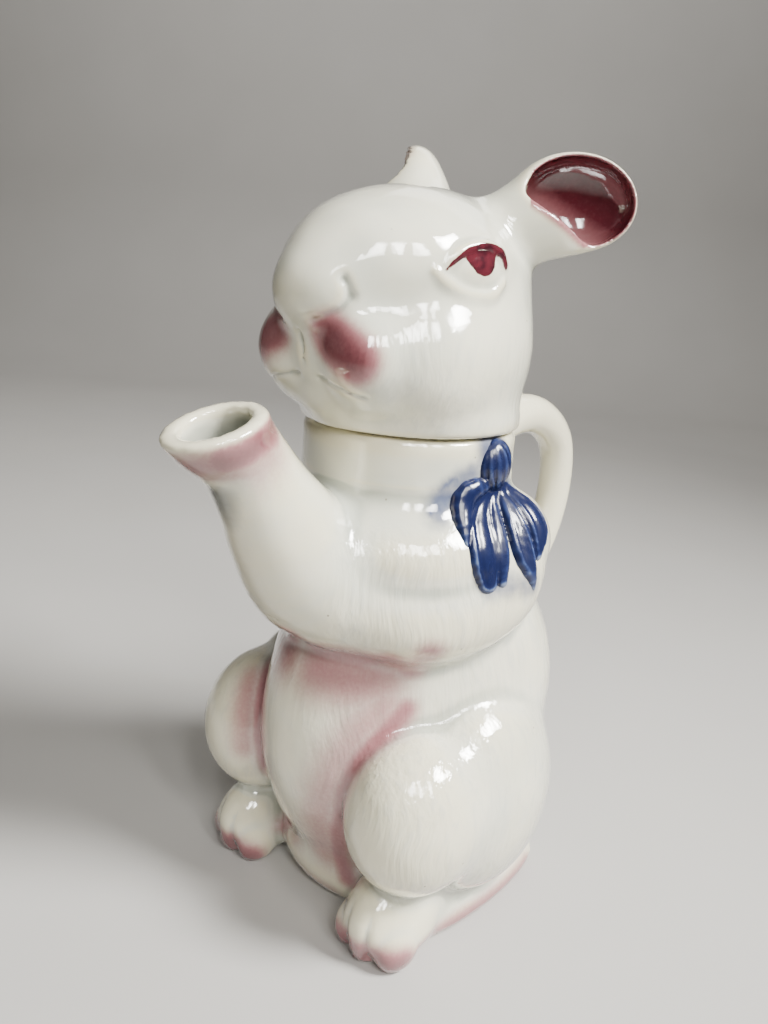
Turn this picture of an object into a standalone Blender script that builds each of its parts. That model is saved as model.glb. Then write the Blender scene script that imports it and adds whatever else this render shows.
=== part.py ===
"""A sitting rabbit teapot: a hollow pot with raised forelegs for a spout, and the head as its lid.

Metres, +Z up. The rabbit faces -Y and the origin is the middle of the resting face.
"""

import math

import bmesh
import bpy
from mathutils import Euler, Matrix, Vector
from mathutils.bvhtree import BVHTree

# Driving dimensions

SEAM = 0.0003  # gap left between two pieces of clay that meet
OVERRUN = 0.004  # how far a cutter runs past the clay
GRAIN = 0.0018  # finest step of the modelled clay
EAR_GRAIN = 0.0009  # the same for the thin cups of the ears
WELD = 0.00001  # corners nearer than this are one
SOFTNESS = 0.010  # reach over which two swellings run into each other

POT_HEIGHT = 0.162  # resting face to the rim of the neck
POT_HALF_WIDTH = 0.060
POT_HALF_DEPTH = 0.048
POT_WALL = 0.0045
FLOOR_THICKNESS = 0.005

NECK_RADIUS = 0.0335
NECK_HEIGHT = 0.030
NECK_WALL = 0.0042

FOOT_LENGTH = 0.096
FOOT_WIDTH = 0.027
FOOT_HEIGHT = 0.020
FOOT_INSET = 0.0265  # outer side of a haunch to the middle of its foot

FORELEG_RADIUS = 0.017
SPOUT_REACH = 0.075  # middle of the pot to the middle of the mouth
SPOUT_HEIGHT = 0.1670  # resting face to the middle of the mouth
SPOUT_TILT = 19  # how far the mouth's plane leans forward, in degrees
SPOUT_RADIUS = 0.013
SPOUT_BORE_RADIUS = 0.00875
LIP_SOFTNESS = 0.003
EDGE_SOFTNESS = 0.001
NECK_ROOT_SOFTNESS = 0.012

STRAINER_HOLE_RADIUS = 0.002
STRAINER_RING_RADIUS = 0.0068
STRAINER_HOLES = 6

HANDLE_REACH = 0.091  # middle of the pot to the middle of the grip
HANDLE_DROP = 0.004  # rim of the neck to the middle of the handle's top
HANDLE_FOOT = 0.080
HANDLE_RADIUS = 0.0067

HEAD_HEIGHT = 0.070  # rim of the neck to the crown
HEAD_HALF_WIDTH = 0.037
HEAD_REACH = 0.051  # middle of the neck to the tip of the nose
HEAD_WALL = 0.0045

EAR_LENGTH = 0.0355
EAR_WIDTH = 0.0277
EAR_DEPTH = 0.020
EAR_RIM = 0.0021

FLANGE_DEPTH = 0.012  # how far the lid's ring hangs into the neck
FLANGE_GRIP = 0.006  # how far it reaches up inside the head
FLANGE_WALL = 0.0035
LID_PLAY = 0.0010

KNOT_HEIGHT = 0.016
KNOT_WIDTH = 0.011
LEAF_DROP = 0.026  # foot of the knot to the tip of the longest tail
LEAF_FAN = 0.024  # spread of the ribbon leaves round the neck

# Sizes that follow from them

HEAD_BASE = POT_HEIGHT + SEAM
NECK_BORE_RADIUS = NECK_RADIUS - NECK_WALL
FLANGE_RADIUS = NECK_BORE_RADIUS - LID_PLAY
POT_BOX = Vector((POT_HALF_WIDTH, POT_HALF_DEPTH, POT_HEIGHT))
HEAD_BOX = Vector((HEAD_HALF_WIDTH, HEAD_REACH, HEAD_HEIGHT))
FOOT_BOX = Vector((FOOT_WIDTH, FOOT_LENGTH, FOOT_HEIGHT))

# Facets of each form, and steps round a turned one

POT_FACETS = 1850
POT_HOLLOW_FACETS = 640
HAUNCH_FACETS = 520
HAUNCH_HOLLOW_FACETS = 100
FORELEG_FACETS = 1600
FOOT_FACETS = 345
HEAD_FACETS = 1950
HEAD_HOLLOW_FACETS = 500
EAR_FACETS = 430
KNOT_FACETS = 170
TURN_STEPS = 48
HOLE_STEPS = 16
PATH_STEPS = 4

# Swellings of the pot: centre, half extents (both in shares of the pot's box), turn in degrees
# about x and z, and how softly each runs into the rest.
POT_MIDDLE_SHARES = (
    ((0, 0.125, 0.310), (0.72, 0.92, 0.370), (0, 0), 0.6),
    ((0, 0.170, 0.520), (0.70, 0.92, 0.345), (0, 0), 1.4),
    ((0, -0.250, 0.380), (0.52, 0.75, 0.310), (0, 0), 1.2),
    ((0, -0.040, 0.075), (0.60, 0.67, 0.135), (0, 0), 1.0),
    ((0, 0.085, 0.755), (0.615, 0.75, 0.185), (0, 0), 1.4),
    ((0, -0.080, 0.778), (0.730, 0.85, 0.136), (0, 0), 1.0),
)
POT_SIDE_SHARES = (((0.375, 0.420, 0.450), (0.400, 0.570, 0.247), (0, 0), 1.0),)
HAUNCH_SHARES = (
    ((0.610, 0.130, 0.280), (0.380, 0.700, 0.228), (18, 10), 0.8),
    ((0.610, -0.490, 0.295), (0.350, 0.500, 0.162), (0, 0), 0.8),
)

# Swellings of one foot, in shares of its width, length and height.
FOOT_SHARES = (
    ((0, 0.065, 0.40), (0.44, 0.435, 0.55), (0, 0), 0.5),
    ((0, -0.250, 0.70), (0.43, 0.215, 0.62), (0, 0), 0.6),
    ((0, -0.295, 0.45), (0.50, 0.165, 0.60), (0, 0), 0.6),
    ((-0.28, -0.365, 0.33), (0.22, 0.085, 0.42), (0, 0), 0.15),
    ((0.02, -0.380, 0.36), (0.22, 0.085, 0.44), (0, 0), 0.15),
    ((0.31, -0.350, 0.33), (0.22, 0.085, 0.42), (0, 0), 0.15),
)

# Swellings of the head above the rim, in shares of its half width, reach and height.
HEAD_MIDDLE_SHARES = (
    ((0, 0, 0.340), (0.97, 0.706, 0.570), (0, 0), 0.4),
    ((0, 0, 0.625), (0.84, 0.706, 0.357), (0, 0), 0.8),
    ((0, -0.235, 0.653), (0.84, 0.627, 0.314), (0, 0), 0.8),
    ((0, -0.530, 0.603), (0.51, 0.510, 0.229), (12, 0), 1.2),
    ((0, -0.820, 0.524), (0.30, 0.180, 0.129), (0, 0), 0.8),
    ((0, -0.590, 0.139), (0.35, 0.216, 0.129), (0, 0), 0.8),
)
HEAD_SIDE_SHARES = (
    ((0.380, -0.700, 0.310), (0.335, 0.220, 0.180), (0, 0), 1.2),
    ((0.540, -0.275, 0.310), (0.460, 0.430, 0.286), (0, 0), 1.0),
    ((0.676, -0.118, 0.696), (0.190, 0.176, 0.100), (0, 0), 0.8),
)
HEAD_NECK_SHARES = (0.03, 1.02, 0.20)  # height of its middle, its radius and its half height

# Forelegs from the shoulder round to the front: places in shares of the pot's box, then thickness.
FORELEG_SHARES = (
    ((0.500, 0.250, 0.790), 1.00),
    ((0.567, 0.040, 0.710), 0.94),
    ((0.450, -0.375, 0.673), 0.91),
    ((0.167, -0.690, 0.700), 0.94),
)

# Spout from its root to its mouth: shares of the run out and of the rise, then of the mouth's radius.
SPOUT_ROOT_SHARES = (-0.46, 0.704)
SPOUT_SHARES = (
    (0.00, 0.000, 1.70),
    (0.30, 0.115, 1.60),
    (0.49, 0.325, 1.35),
    (0.652, 0.558, 1.08),
    (0.808, 0.784, 0.945),
    (0.915, 0.905, 0.985),
    (1.00, 1.000, 1.08),
)
CHANNEL_SHARES = (
    (0.12, 0.050, 1.25),
    (0.36, 0.150, 1.32),
    (0.52, 0.360, 1.22),
    (0.652, 0.558, 1.04),
    (0.808, 0.784, 0.95),
    (0.915, 0.905, 0.96),
    (1.00, 1.000, 1.02),
)

# Handle from the neck over to the grip, and from the grip down to the back: shares out and up,
# then of the grip's radius.
HANDLE_UP_SHARES = ((0, 0.87, 1.35), (0.36, 1.0, 1.15), (0.69, 1.0, 1.08), (0.95, 0.85, 1.0))
HANDLE_DOWN_SHARES = ((1.0, 0.58, 0.97), (0.86, 0.32, 0.97), (0.51, 0.10, 1.08), (0, 0, 1.25))
HANDLE_ROOT_SHARE = 0.83

NECK_ROOT_SHARES = (0.975, 0.50)  # radius of the clay that swells up to the neck, and how high it reaches

# Profile of the neck, outer side from the rim down: shares of its radius and of its height.
NECK_PROFILE_SHARES = (
    (0.945, 1.00),
    (0.980, 0.985),
    (1.000, 0.945),
    (1.010, 0.86),
    (1.010, 0.72),
    (0.990, 0.58),
    (0.970, 0.46),
    (0.900, 0.30),
)

# Ears: where each sits on the head, which way it points, and where its root lies.
EAR_PLACE_SHARES = (0.89, 0.57, 0.967)
EAR_ROOT_SHARES = ((0.43, 0.27, 0.80), (0.72, 0.44, 0.91))
EAR_ROOT_THICKNESS_SHARE = 0.44
EAR_TURN = 42
EAR_LEAN = 3
RIGHT_EAR_RAISE_SHARE = 0.16
EAR_FRONT_SHARE = 0.35  # how far in front of its middle the ear is cut open
EAR_CUP_SHARES = (0, 0.5, 1.0)  # how far forward the cup is cut away
EAR_FOLD = 243  # where the lower lip stands up, turned from the ear's own axis
EAR_FOLD_SHARE = 0.57

# The bow: its knot's middle in shares of the pot's half depth and of the neck's height below the rim,
# then each leaf's path in shares of the fan's spread and drop from the foot of the knot, and its half
# widths in shares of the spread.
KNOT_PLACE_SHARES = (0.06, 0.286)
BOW_LEAVES_SHARES = {
    "bow_front_leaf": (
        ((-0.12, 0.03), (-0.44, 0.36), (-0.58, 0.68), (-0.60, 0.95)),
        (0.060, 0.155, 0.175, 0.090),
    ),
    "bow_tail": (
        ((0.15, 0.02), (0.06, 0.33), (0.05, 0.66), (0.12, 1.00)),
        (0.070, 0.145, 0.165, 0.060),
    ),
    "bow_middle_leaf": (
        ((0.02, 0.06), (-0.16, 0.33), (-0.28, 0.60), (-0.37, 0.86)),
        (0.060, 0.105, 0.135, 0.070),
    ),
    "bow_curl": (
        ((-0.26, -0.13), (-0.56, -0.04), (-0.77, 0.18), (-0.84, 0.44)),
        (0.070, 0.140, 0.145, 0.070),
    ),
    "bow_back_loop": (
        ((0.30, -0.06), (0.41, 0.16), (0.42, 0.40), (0.35, 0.68)),
        (0.070, 0.145, 0.145, 0.065),
    ),
}
LEAF_FLATNESS_SHARE = 0.60  # how thick a leaf is for its width
LEAF_LIFT_SHARE = 0.40  # how far its middle stands off the clay, for its half thickness


# Tools for soft forms


class Clay:
    """A soft form, held as a field of distances: below zero inside, above zero outside."""

    def __init__(self, side="whole"):
        self.tree = bpy.data.node_groups.new("clay", "GeometryNodeTree")
        self.tree.interface.new_socket("Geometry", in_out="OUTPUT", socket_type="NodeSocketGeometry")
        self.low = None
        self.high = None
        self.field = None
        position = self.tree.nodes.new("GeometryNodeInputPosition").outputs[0]
        self.here = position
        if side == "right":
            self.here = self.vector("MULTIPLY", position, (-1, 1, 1))
        self.side = side
        self.folded = self.fold(position)

    def fold(self, position):
        """The place seen from the left half, so that one swelling serves both sides."""
        parts = self.tree.nodes.new("ShaderNodeSeparateXYZ")
        self.tree.links.new(position, parts.inputs[0])
        joined = self.tree.nodes.new("ShaderNodeCombineXYZ")
        self.tree.links.new(self.number("ABSOLUTE", parts.outputs[0]), joined.inputs[0])
        self.tree.links.new(parts.outputs[1], joined.inputs[1])
        self.tree.links.new(parts.outputs[2], joined.inputs[2])
        return joined.outputs[0]

    def feed(self, socket, value):
        if isinstance(value, bpy.types.NodeSocket):
            self.tree.links.new(value, socket)
        else:
            socket.default_value = value

    def number(self, operation, first, second=0.0, third=0.0):
        node = self.tree.nodes.new("ShaderNodeMath")
        node.operation = operation
        for socket, value in zip(node.inputs, (first, second, third)):
            self.feed(socket, value)
        return node.outputs[0]

    def vector(self, operation, first, second=(0, 0, 0)):
        node = self.tree.nodes.new("ShaderNodeVectorMath")
        node.operation = operation
        self.feed(node.inputs[0], first)
        self.feed(node.inputs[1], second)
        return node.outputs["Value" if operation in ("LENGTH", "DOT_PRODUCT") else "Vector"]

    def scaled(self, direction, factor):
        node = self.tree.nodes.new("ShaderNodeVectorMath")
        node.operation = "SCALE"
        node.inputs[0].default_value = direction
        self.tree.links.new(factor, node.inputs["Scale"])
        return node.outputs["Vector"]

    def reach(self, point, radius, pair):
        """Widen the box that the finished form is sought in."""
        spots = [Vector(point)]
        if pair or self.side == "right":
            spots.append(Vector((-point[0], point[1], point[2])))
        for spot in spots:
            low = spot - Vector((radius, radius, radius))
            high = spot + Vector((radius, radius, radius))
            self.low = low if self.low is None else Vector(map(min, self.low, low))
            self.high = high if self.high is None else Vector(map(max, self.high, high))

    def join(self, distance, soft):
        if self.field is None:
            self.field = distance
        else:
            self.field = self.number("SMOOTH_MIN", self.field, distance, soft)

    def lump(self, centre, radii, turn=(0, 0, 0), soft=SOFTNESS, pair=False):
        """An egg-shaped swelling."""
        centre = tuple(centre)
        offset = self.vector("SUBTRACT", self.folded if pair else self.here, centre)
        if any(turn):
            spin = self.tree.nodes.new("ShaderNodeVectorRotate")
            spin.rotation_type = "EULER_XYZ"
            spin.invert = True
            self.tree.links.new(offset, spin.inputs["Vector"])
            spin.inputs["Rotation"].default_value = [math.radians(angle) for angle in turn]
            offset = spin.outputs[0]
        once = self.vector("DIVIDE", offset, tuple(radii))
        twice = self.vector("DIVIDE", once, tuple(radii))
        near = self.vector("LENGTH", once)
        slope = self.vector("LENGTH", twice)
        excess = self.number("SUBTRACT", near, 1.0)
        distance = self.number("DIVIDE", self.number("MULTIPLY", near, excess), slope)
        self.reach(centre, max(radii), pair)
        self.join(distance, soft)

    def swellings(self, table, box, place=Vector((0, 0, 0)), pair=False):
        """A table of swellings, in shares of a box that stands at a place."""
        for centre, radii, (lean, swing), soft in table:
            turn = (lean, 0, swing)
            self.lump(place + in_box(centre, box), in_box(radii, box), turn, soft * SOFTNESS, pair)

    def limb(self, path, soft=SOFTNESS, pair=False):
        """A rod of changing thickness along a smooth path of (point, radius) pairs."""
        best = None
        start = self.folded if pair else self.here
        for (first, first_radius), (last, last_radius) in zip(path, path[1:]):
            run = last - first
            offset = self.vector("SUBTRACT", start, tuple(first))
            along = self.vector("DOT_PRODUCT", offset, tuple(run / run.length_squared))
            along = self.number("MINIMUM", self.number("MAXIMUM", along, 0.0), 1.0)
            away = self.vector("SUBTRACT", offset, self.scaled(tuple(run), along))
            radius = self.number("MULTIPLY_ADD", along, last_radius - first_radius, first_radius)
            distance = self.number("SUBTRACT", self.vector("LENGTH", away), radius)
            best = distance if best is None else self.number("MINIMUM", best, distance)
        for point, radius in path:
            self.reach(point, radius, pair)
        self.join(best, soft)

    def drum(self, radius, low, high, soft):
        """An upright round block about the Z axis."""
        flat = self.vector("LENGTH", self.vector("MULTIPLY", self.here, (1, 1, 0)))
        side = self.number("SUBTRACT", flat, radius)
        level = self.vector("DOT_PRODUCT", self.here, (0, 0, 1))
        cap = self.number("ABSOLUTE", self.number("SUBTRACT", level, (low + high) / 2))
        cap = self.number("SUBTRACT", cap, (high - low) / 2)
        self.join(self.number("MAXIMUM", side, cap), soft)

    def trim(self, point, outward, soft):
        """Cut the form off at a plane, with a softened edge."""
        offset = self.vector("SUBTRACT", self.here, tuple(point))
        beyond = self.vector("DOT_PRODUCT", offset, tuple(outward))
        self.field = self.number("SMOOTH_MAX", self.field, beyond, soft)

    def carve(self, make, soft):
        """Cut away the form that make adds, with softened edges."""
        solid, low, high = self.field, self.low, self.high
        self.field = None
        make()
        hollow = self.number("MULTIPLY", self.field, -1.0)
        self.low, self.high = low, high
        self.field = self.number("SMOOTH_MAX", solid, hollow, soft)

    def mesh(self, name, facets, grow=0.0, grain=GRAIN):
        """The form's skin, moved out by grow, with about so many facets."""
        margin = Vector((1, 1, 1)) * (SOFTNESS + 2 * grain + abs(grow))
        low = self.low - margin
        high = self.high + margin
        cube = self.tree.nodes.new("GeometryNodeVolumeCube")
        self.tree.links.new(self.number("SUBTRACT", grow, self.field), cube.inputs["Density"])
        cube.inputs["Background"].default_value = -grain
        cube.inputs["Min"].default_value = low
        cube.inputs["Max"].default_value = high
        for axis, span in zip("XYZ", high - low):
            cube.inputs["Resolution " + axis].default_value = math.ceil(span / grain)
        skin = self.tree.nodes.new("GeometryNodeVolumeToMesh")
        self.tree.links.new(cube.outputs[0], skin.inputs["Volume"])
        skin.inputs["Threshold"].default_value = 0.0
        result = self.tree.nodes.new("NodeGroupOutput")
        self.tree.links.new(skin.outputs[0], result.inputs[0])

        carrier = bpy.data.objects.new(name, bpy.data.meshes.new(name))
        CUTTERS.objects.link(carrier)
        shape = carrier.modifiers.new("Clay", "NODES")
        shape.node_group = self.tree
        fine = evaluated_mesh(carrier)
        carrier.modifiers.remove(shape)
        self.tree.nodes.remove(result)

        carrier.data = fine
        thin = carrier.modifiers.new("Fewer facets", "DECIMATE")
        thin.ratio = min(1.0, facets / (2.0 * len(fine.polygons)))
        coarse = evaluated_mesh(carrier)
        coarse.name = name
        bpy.data.objects.remove(carrier)
        return coarse


def evaluated_mesh(thing):
    graph = bpy.context.evaluated_depsgraph_get()
    return bpy.data.meshes.new_from_object(thing.evaluated_get(graph), depsgraph=graph)


def smooth_path(knots, steps=PATH_STEPS):
    """Points and radii on a smooth curve through the knots, each a (point, radius) pair."""
    spots = [Vector((*point, radius)) for point, radius in knots]
    ends = [2 * spots[0] - spots[1], *spots, 2 * spots[-1] - spots[-2]]
    path = []
    for before, first, last, after in zip(ends, ends[1:], ends[2:], ends[3:]):
        for step in range(steps):
            share = step / steps
            spot = first * 2 + (last - before) * share
            spot = spot + (2 * before - 5 * first + 4 * last - after) * share**2
            spot = spot + (3 * first - before - 3 * last + after) * share**3
            path.append(spot / 2)
    path.append(spots[-1])
    return [(Vector(spot[:3]), spot[3]) for spot in path]


def in_box(shares, box):
    return Vector((shares[0] * box.x, shares[1] * box.y, shares[2] * box.z))


# Tools for solids


def new_collection(name):
    group = bpy.data.collections.new(name)
    bpy.context.scene.collection.children.link(group)
    return group


def glaze(name, colour, roughness):
    material = bpy.data.materials.new(name)
    material.use_nodes = True
    shader = material.node_tree.nodes["Principled BSDF"]
    shader.inputs["Base Color"].default_value = (*colour, 1)
    shader.inputs["Roughness"].default_value = roughness
    shader.inputs["Metallic"].default_value = 0
    material.diffuse_color = (*colour, 1)
    return material


def piece(name, mesh, colour, roughness=0.12):
    """A named sub-part in the teapot's collection, with its own glaze."""
    thing = bpy.data.objects.new(name, mesh)
    TEAPOT.objects.link(thing)
    mesh.materials.clear()
    mesh.materials.append(glaze(name + "_glaze", colour, roughness))
    mesh.shade_smooth()
    mesh.set_sharp_from_angle(angle=math.radians(50))
    return thing


def cutter(name, mesh):
    thing = bpy.data.objects.new(name, mesh)
    CUTTERS.objects.link(thing)
    thing.hide_render = True
    thing.display_type = "WIRE"
    return thing


def boolean(thing, tool, operation="DIFFERENCE"):
    step = thing.modifiers.new(tool.name, "BOOLEAN")
    step.operation = operation
    step.object = tool


def clearance(name, mesh):
    """A cutter with a piece's own skin moved out by the seam, so that a neighbour stays clear of it."""
    skin = cutter(name + "_clearance", mesh.copy())
    swell = skin.modifiers.new("Clearance", "DISPLACE")
    swell.mid_level = 0
    swell.strength = SEAM
    return skin


def keep_clear(thing, clearances):
    for skin in clearances:
        boolean(thing, skin)


def block(name, low, high):
    mesh = bpy.data.meshes.new(name)
    shape = bmesh.new()
    bmesh.ops.create_cube(shape, size=1)
    low = Vector(low)
    high = Vector(high)
    for corner in shape.verts:
        share = corner.co + Vector((0.5, 0.5, 0.5))
        corner.co = Vector(map(lambda a, b, c: a + (b - a) * c, low, high, share))
    shape.to_mesh(mesh)
    shape.free()
    return cutter(name, mesh)


def rod(name, path, flatness=1.0):
    """A closed rod of changing thickness along a path, flattened across X."""
    curve = bpy.data.curves.new(name, "CURVE")
    curve.dimensions = "3D"
    curve.bevel_depth = 1
    curve.bevel_resolution = 2
    curve.use_fill_caps = True
    rail = curve.splines.new("POLY")
    rail.points.add(len(path) - 1)
    for point, (place, radius) in zip(rail.points, path):
        point.co = (place.x / flatness, place.y, place.z, 1)
        point.radius = radius
    carrier = bpy.data.objects.new(name, curve)
    CUTTERS.objects.link(carrier)
    mesh = evaluated_mesh(carrier)
    bpy.data.objects.remove(carrier)
    mesh.transform(Matrix.Scale(flatness, 4, (1, 0, 0)))
    shape = bmesh.new()
    shape.from_mesh(mesh)
    bmesh.ops.remove_doubles(shape, verts=shape.verts, dist=WELD)
    shape.to_mesh(mesh)
    shape.free()
    return mesh


def turned(name, profile, steps=TURN_STEPS):
    """A mesh turned about the Z axis from (radius, height) points, down the outer side."""
    mesh = bpy.data.meshes.new(name)
    edges = [(index, index + 1) for index in range(len(profile) - 1)]
    if profile[0][0] > 0:
        edges.append((len(profile) - 1, 0))
    mesh.from_pydata([(radius, 0, height) for radius, height in profile], edges, [])
    carrier = bpy.data.objects.new(name, mesh)
    CUTTERS.objects.link(carrier)
    screw = carrier.modifiers.new("Turn", "SCREW")
    screw.steps = steps
    screw.render_steps = steps
    screw.use_merge_vertices = True
    screw.merge_threshold = WELD
    solid = evaluated_mesh(carrier)
    bpy.data.objects.remove(carrier)
    return solid


def below(name, height, span):
    """A block that takes away all that lies under a height."""
    return block(name, (-span, -span, height - span), (span, span, height))


# The pot


def shape_pot():
    clay = Clay()
    clay.swellings(POT_MIDDLE_SHARES, POT_BOX)
    clay.swellings(POT_SIDE_SHARES, POT_BOX, pair=True)
    radius, reach = NECK_ROOT_SHARES
    neck_base = POT_HEIGHT - NECK_HEIGHT
    low = neck_base - NECK_HEIGHT
    high = neck_base + reach * NECK_HEIGHT
    clay.drum(radius * NECK_RADIUS, low, high, NECK_ROOT_SOFTNESS)
    return clay


def build_pot():
    """The hollow body with its haunches and neck, its solid core and what keeps neighbours clear of it."""
    clay = shape_pot()
    under = below("under_pot", 0, POT_HEIGHT)

    neck_base = POT_HEIGHT - NECK_HEIGHT
    profile = [(0, POT_HEIGHT)]
    for radius, height in NECK_PROFILE_SHARES:
        profile.append((radius * NECK_RADIUS, neck_base + height * NECK_HEIGHT))
    profile.append((0, neck_base))
    neck = cutter("neck_turning", turned("neck_turning", profile))

    core = cutter("pot_core", clay.mesh("pot_core", POT_FACETS))
    clearances = [clearance("pot_core", core.data), clearance("neck", neck.data)]
    boolean(core, neck, "UNION")
    boolean(core, under)

    hollow = cutter("pot_hollow", clay.mesh("pot_hollow", POT_HOLLOW_FACETS, grow=-POT_WALL))
    boolean(hollow, below("under_floor", FLOOR_THICKNESS, POT_HEIGHT))
    bore_floor = neck_base - NECK_HEIGHT
    bore_profile = [
        (0, POT_HEIGHT + OVERRUN),
        (NECK_BORE_RADIUS, POT_HEIGHT + OVERRUN),
        (NECK_BORE_RADIUS, bore_floor),
        (0, bore_floor),
    ]
    bore = cutter("neck_bore", turned("neck_bore", bore_profile))

    pot = piece("pot_body", evaluated_mesh(core), (0.78, 0.76, 0.69))
    boolean(pot, hollow)
    boolean(pot, bore)
    boolean(pot, strainer_holes())
    return core, clearances


def spout_point(out_share, up_share):
    root_out = SPOUT_ROOT_SHARES[0] * POT_HALF_DEPTH
    root_up = SPOUT_ROOT_SHARES[1] * POT_HEIGHT
    away = root_out + out_share * (-SPOUT_REACH - root_out)
    height = root_up + up_share * (SPOUT_HEIGHT - root_up)
    return Vector((0, away, height))


def strainer_holes():
    """Holes through the pot's wall behind the spout: one in the middle and a ring round it."""
    middle = spout_point(CHANNEL_SHARES[0][0], CHANNEL_SHARES[1][1])
    mesh = bpy.data.meshes.new("strainer_holes")
    shape = bmesh.new()
    places = [(0, 0)]
    for hole in range(STRAINER_HOLES):
        angle = 2 * math.pi * hole / STRAINER_HOLES
        places.append((STRAINER_RING_RADIUS * math.cos(angle), STRAINER_RING_RADIUS * math.sin(angle)))
    for across, up in places:
        spin = Euler((math.radians(90), 0, 0)).to_matrix().to_4x4()
        spin.translation = middle + Vector((across, 0, up))
        bmesh.ops.create_cone(
            shape,
            cap_ends=True,
            segments=HOLE_STEPS,
            radius1=STRAINER_HOLE_RADIUS,
            radius2=STRAINER_HOLE_RADIUS,
            depth=POT_HALF_DEPTH,
            matrix=spin,
        )
    shape.to_mesh(mesh)
    shape.free()
    return cutter("strainer_holes", mesh)


# The haunches and hind feet


def build_haunch(name, side, pot_clearances):
    """A hollow haunch, open towards the pot that it is luted to."""
    clay = Clay("right" if side < 0 else "whole")
    clay.swellings(HAUNCH_SHARES, POT_BOX)
    haunch = piece(name, clay.mesh(name, HAUNCH_FACETS), (0.78, 0.76, 0.69))
    haunch_clearance = clearance(name, haunch.data)
    hollow = clay.mesh(name + "_hollow", HAUNCH_HOLLOW_FACETS, grow=-POT_WALL)
    boolean(haunch, cutter(name + "_hollow", hollow))
    keep_clear(haunch, pot_clearances)
    return haunch_clearance


def build_foot(name, side, clearances):
    clay = Clay()
    place = Vector((side * (POT_HALF_WIDTH - FOOT_INSET), 0, 0))
    clay.swellings(FOOT_SHARES, FOOT_BOX, place)
    foot = piece(name, clay.mesh(name, FOOT_FACETS), (0.76, 0.68, 0.64))
    boolean(foot, below("under_" + name, 0, FOOT_LENGTH))
    keep_clear(foot, clearances)


# The forelegs and the spout


def spout_path(table, radius, extra):
    """Centre line of the spout or its channel, run on past the mouth."""
    knots = [(spout_point(out, up), share * radius) for out, up, share in table]
    ahead = (knots[-1][0] - knots[-2][0]).normalized()
    knots.append((knots[-1][0] + ahead * extra, knots[-1][1]))
    return smooth_path(knots)


def build_forelegs(pot_clearances):
    """Both forelegs and the spout that they hold, cast as one hollow piece and luted to the pot."""
    clay = Clay()
    legs = [(in_box(place, POT_BOX), share * FORELEG_RADIUS) for place, share in FORELEG_SHARES]
    clay.limb(smooth_path(legs), pair=True)
    clay.limb(spout_path(SPOUT_SHARES, SPOUT_RADIUS, SPOUT_RADIUS), soft=SOFTNESS)
    tilt = math.radians(SPOUT_TILT)
    clay.trim(spout_point(1, 1), Vector((0, -math.sin(tilt), math.cos(tilt))), LIP_SOFTNESS)
    channel = spout_path(CHANNEL_SHARES, SPOUT_BORE_RADIUS, SPOUT_RADIUS)
    clay.carve(lambda: clay.limb(channel), LIP_SOFTNESS)
    forelegs = piece("foreleg_spout", clay.mesh("foreleg_spout", FORELEG_FACETS), (0.80, 0.75, 0.70))
    keep_clear(forelegs, pot_clearances)
    return forelegs, clearance("foreleg_spout", forelegs.data)


# The handle


def build_handle(pot_clearances):
    neck_root = HANDLE_ROOT_SHARE * NECK_RADIUS
    back_root = HANDLE_ROOT_SHARE * POT_HALF_DEPTH
    rise = POT_HEIGHT - HANDLE_DROP - HANDLE_FOOT
    knots = []
    for table, root in ((HANDLE_UP_SHARES, neck_root), (HANDLE_DOWN_SHARES, back_root)):
        for out, up, share in table:
            away = root + out * (HANDLE_REACH - root)
            height = HANDLE_FOOT + up * rise
            knots.append(((0, away, height), share * HANDLE_RADIUS))
    mesh = rod("handle", smooth_path(knots))
    handle = piece("handle", mesh, (0.78, 0.76, 0.69))
    keep_clear(handle, pot_clearances)


# The lid: head, ears and the ring that locates it


def shape_head():
    clay = Clay()
    clay.swellings(HEAD_MIDDLE_SHARES, HEAD_BOX, Vector((0, 0, HEAD_BASE)))
    clay.swellings(HEAD_SIDE_SHARES, HEAD_BOX, Vector((0, 0, HEAD_BASE)), pair=True)
    height, spread, half_height = HEAD_NECK_SHARES
    radius = spread * NECK_RADIUS
    clay.lump((0, 0, HEAD_BASE + height * HEAD_HEIGHT), (radius, radius, half_height * HEAD_HEIGHT))
    return clay


def build_head():
    clay = shape_head()
    core = cutter("head_core", clay.mesh("head_core", HEAD_FACETS))
    head_clearance = clearance("head", core.data)
    boolean(core, below("under_head", HEAD_BASE, POT_HEIGHT))
    hollow = cutter("head_hollow", clay.mesh("head_hollow", HEAD_HOLLOW_FACETS, grow=-HEAD_WALL))
    top = HEAD_BASE + FLANGE_GRIP + OVERRUN
    opening_radius = FLANGE_RADIUS + SEAM
    opening_profile = [
        (0, top),
        (opening_radius, top),
        (opening_radius, HEAD_BASE - OVERRUN),
        (0, HEAD_BASE - OVERRUN),
    ]
    opening = cutter("head_opening", turned("head_opening", opening_profile))
    head = piece("lid_head", evaluated_mesh(core), (0.78, 0.76, 0.69))
    boolean(head, hollow)
    boolean(head, opening)
    return head_clearance


def build_flange():
    """The plain ring under the head that drops into the neck."""
    low = HEAD_BASE - FLANGE_DEPTH
    high = HEAD_BASE + FLANGE_GRIP
    inner = FLANGE_RADIUS - FLANGE_WALL
    edge = FLANGE_WALL / 3
    profile = [
        (inner, high),
        (FLANGE_RADIUS, high),
        (FLANGE_RADIUS, low + edge),
        (FLANGE_RADIUS - edge, low),
        (inner, low),
    ]
    piece("lid_flange", turned("lid_flange", profile), (0.62, 0.56, 0.48), 0.6)


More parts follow.
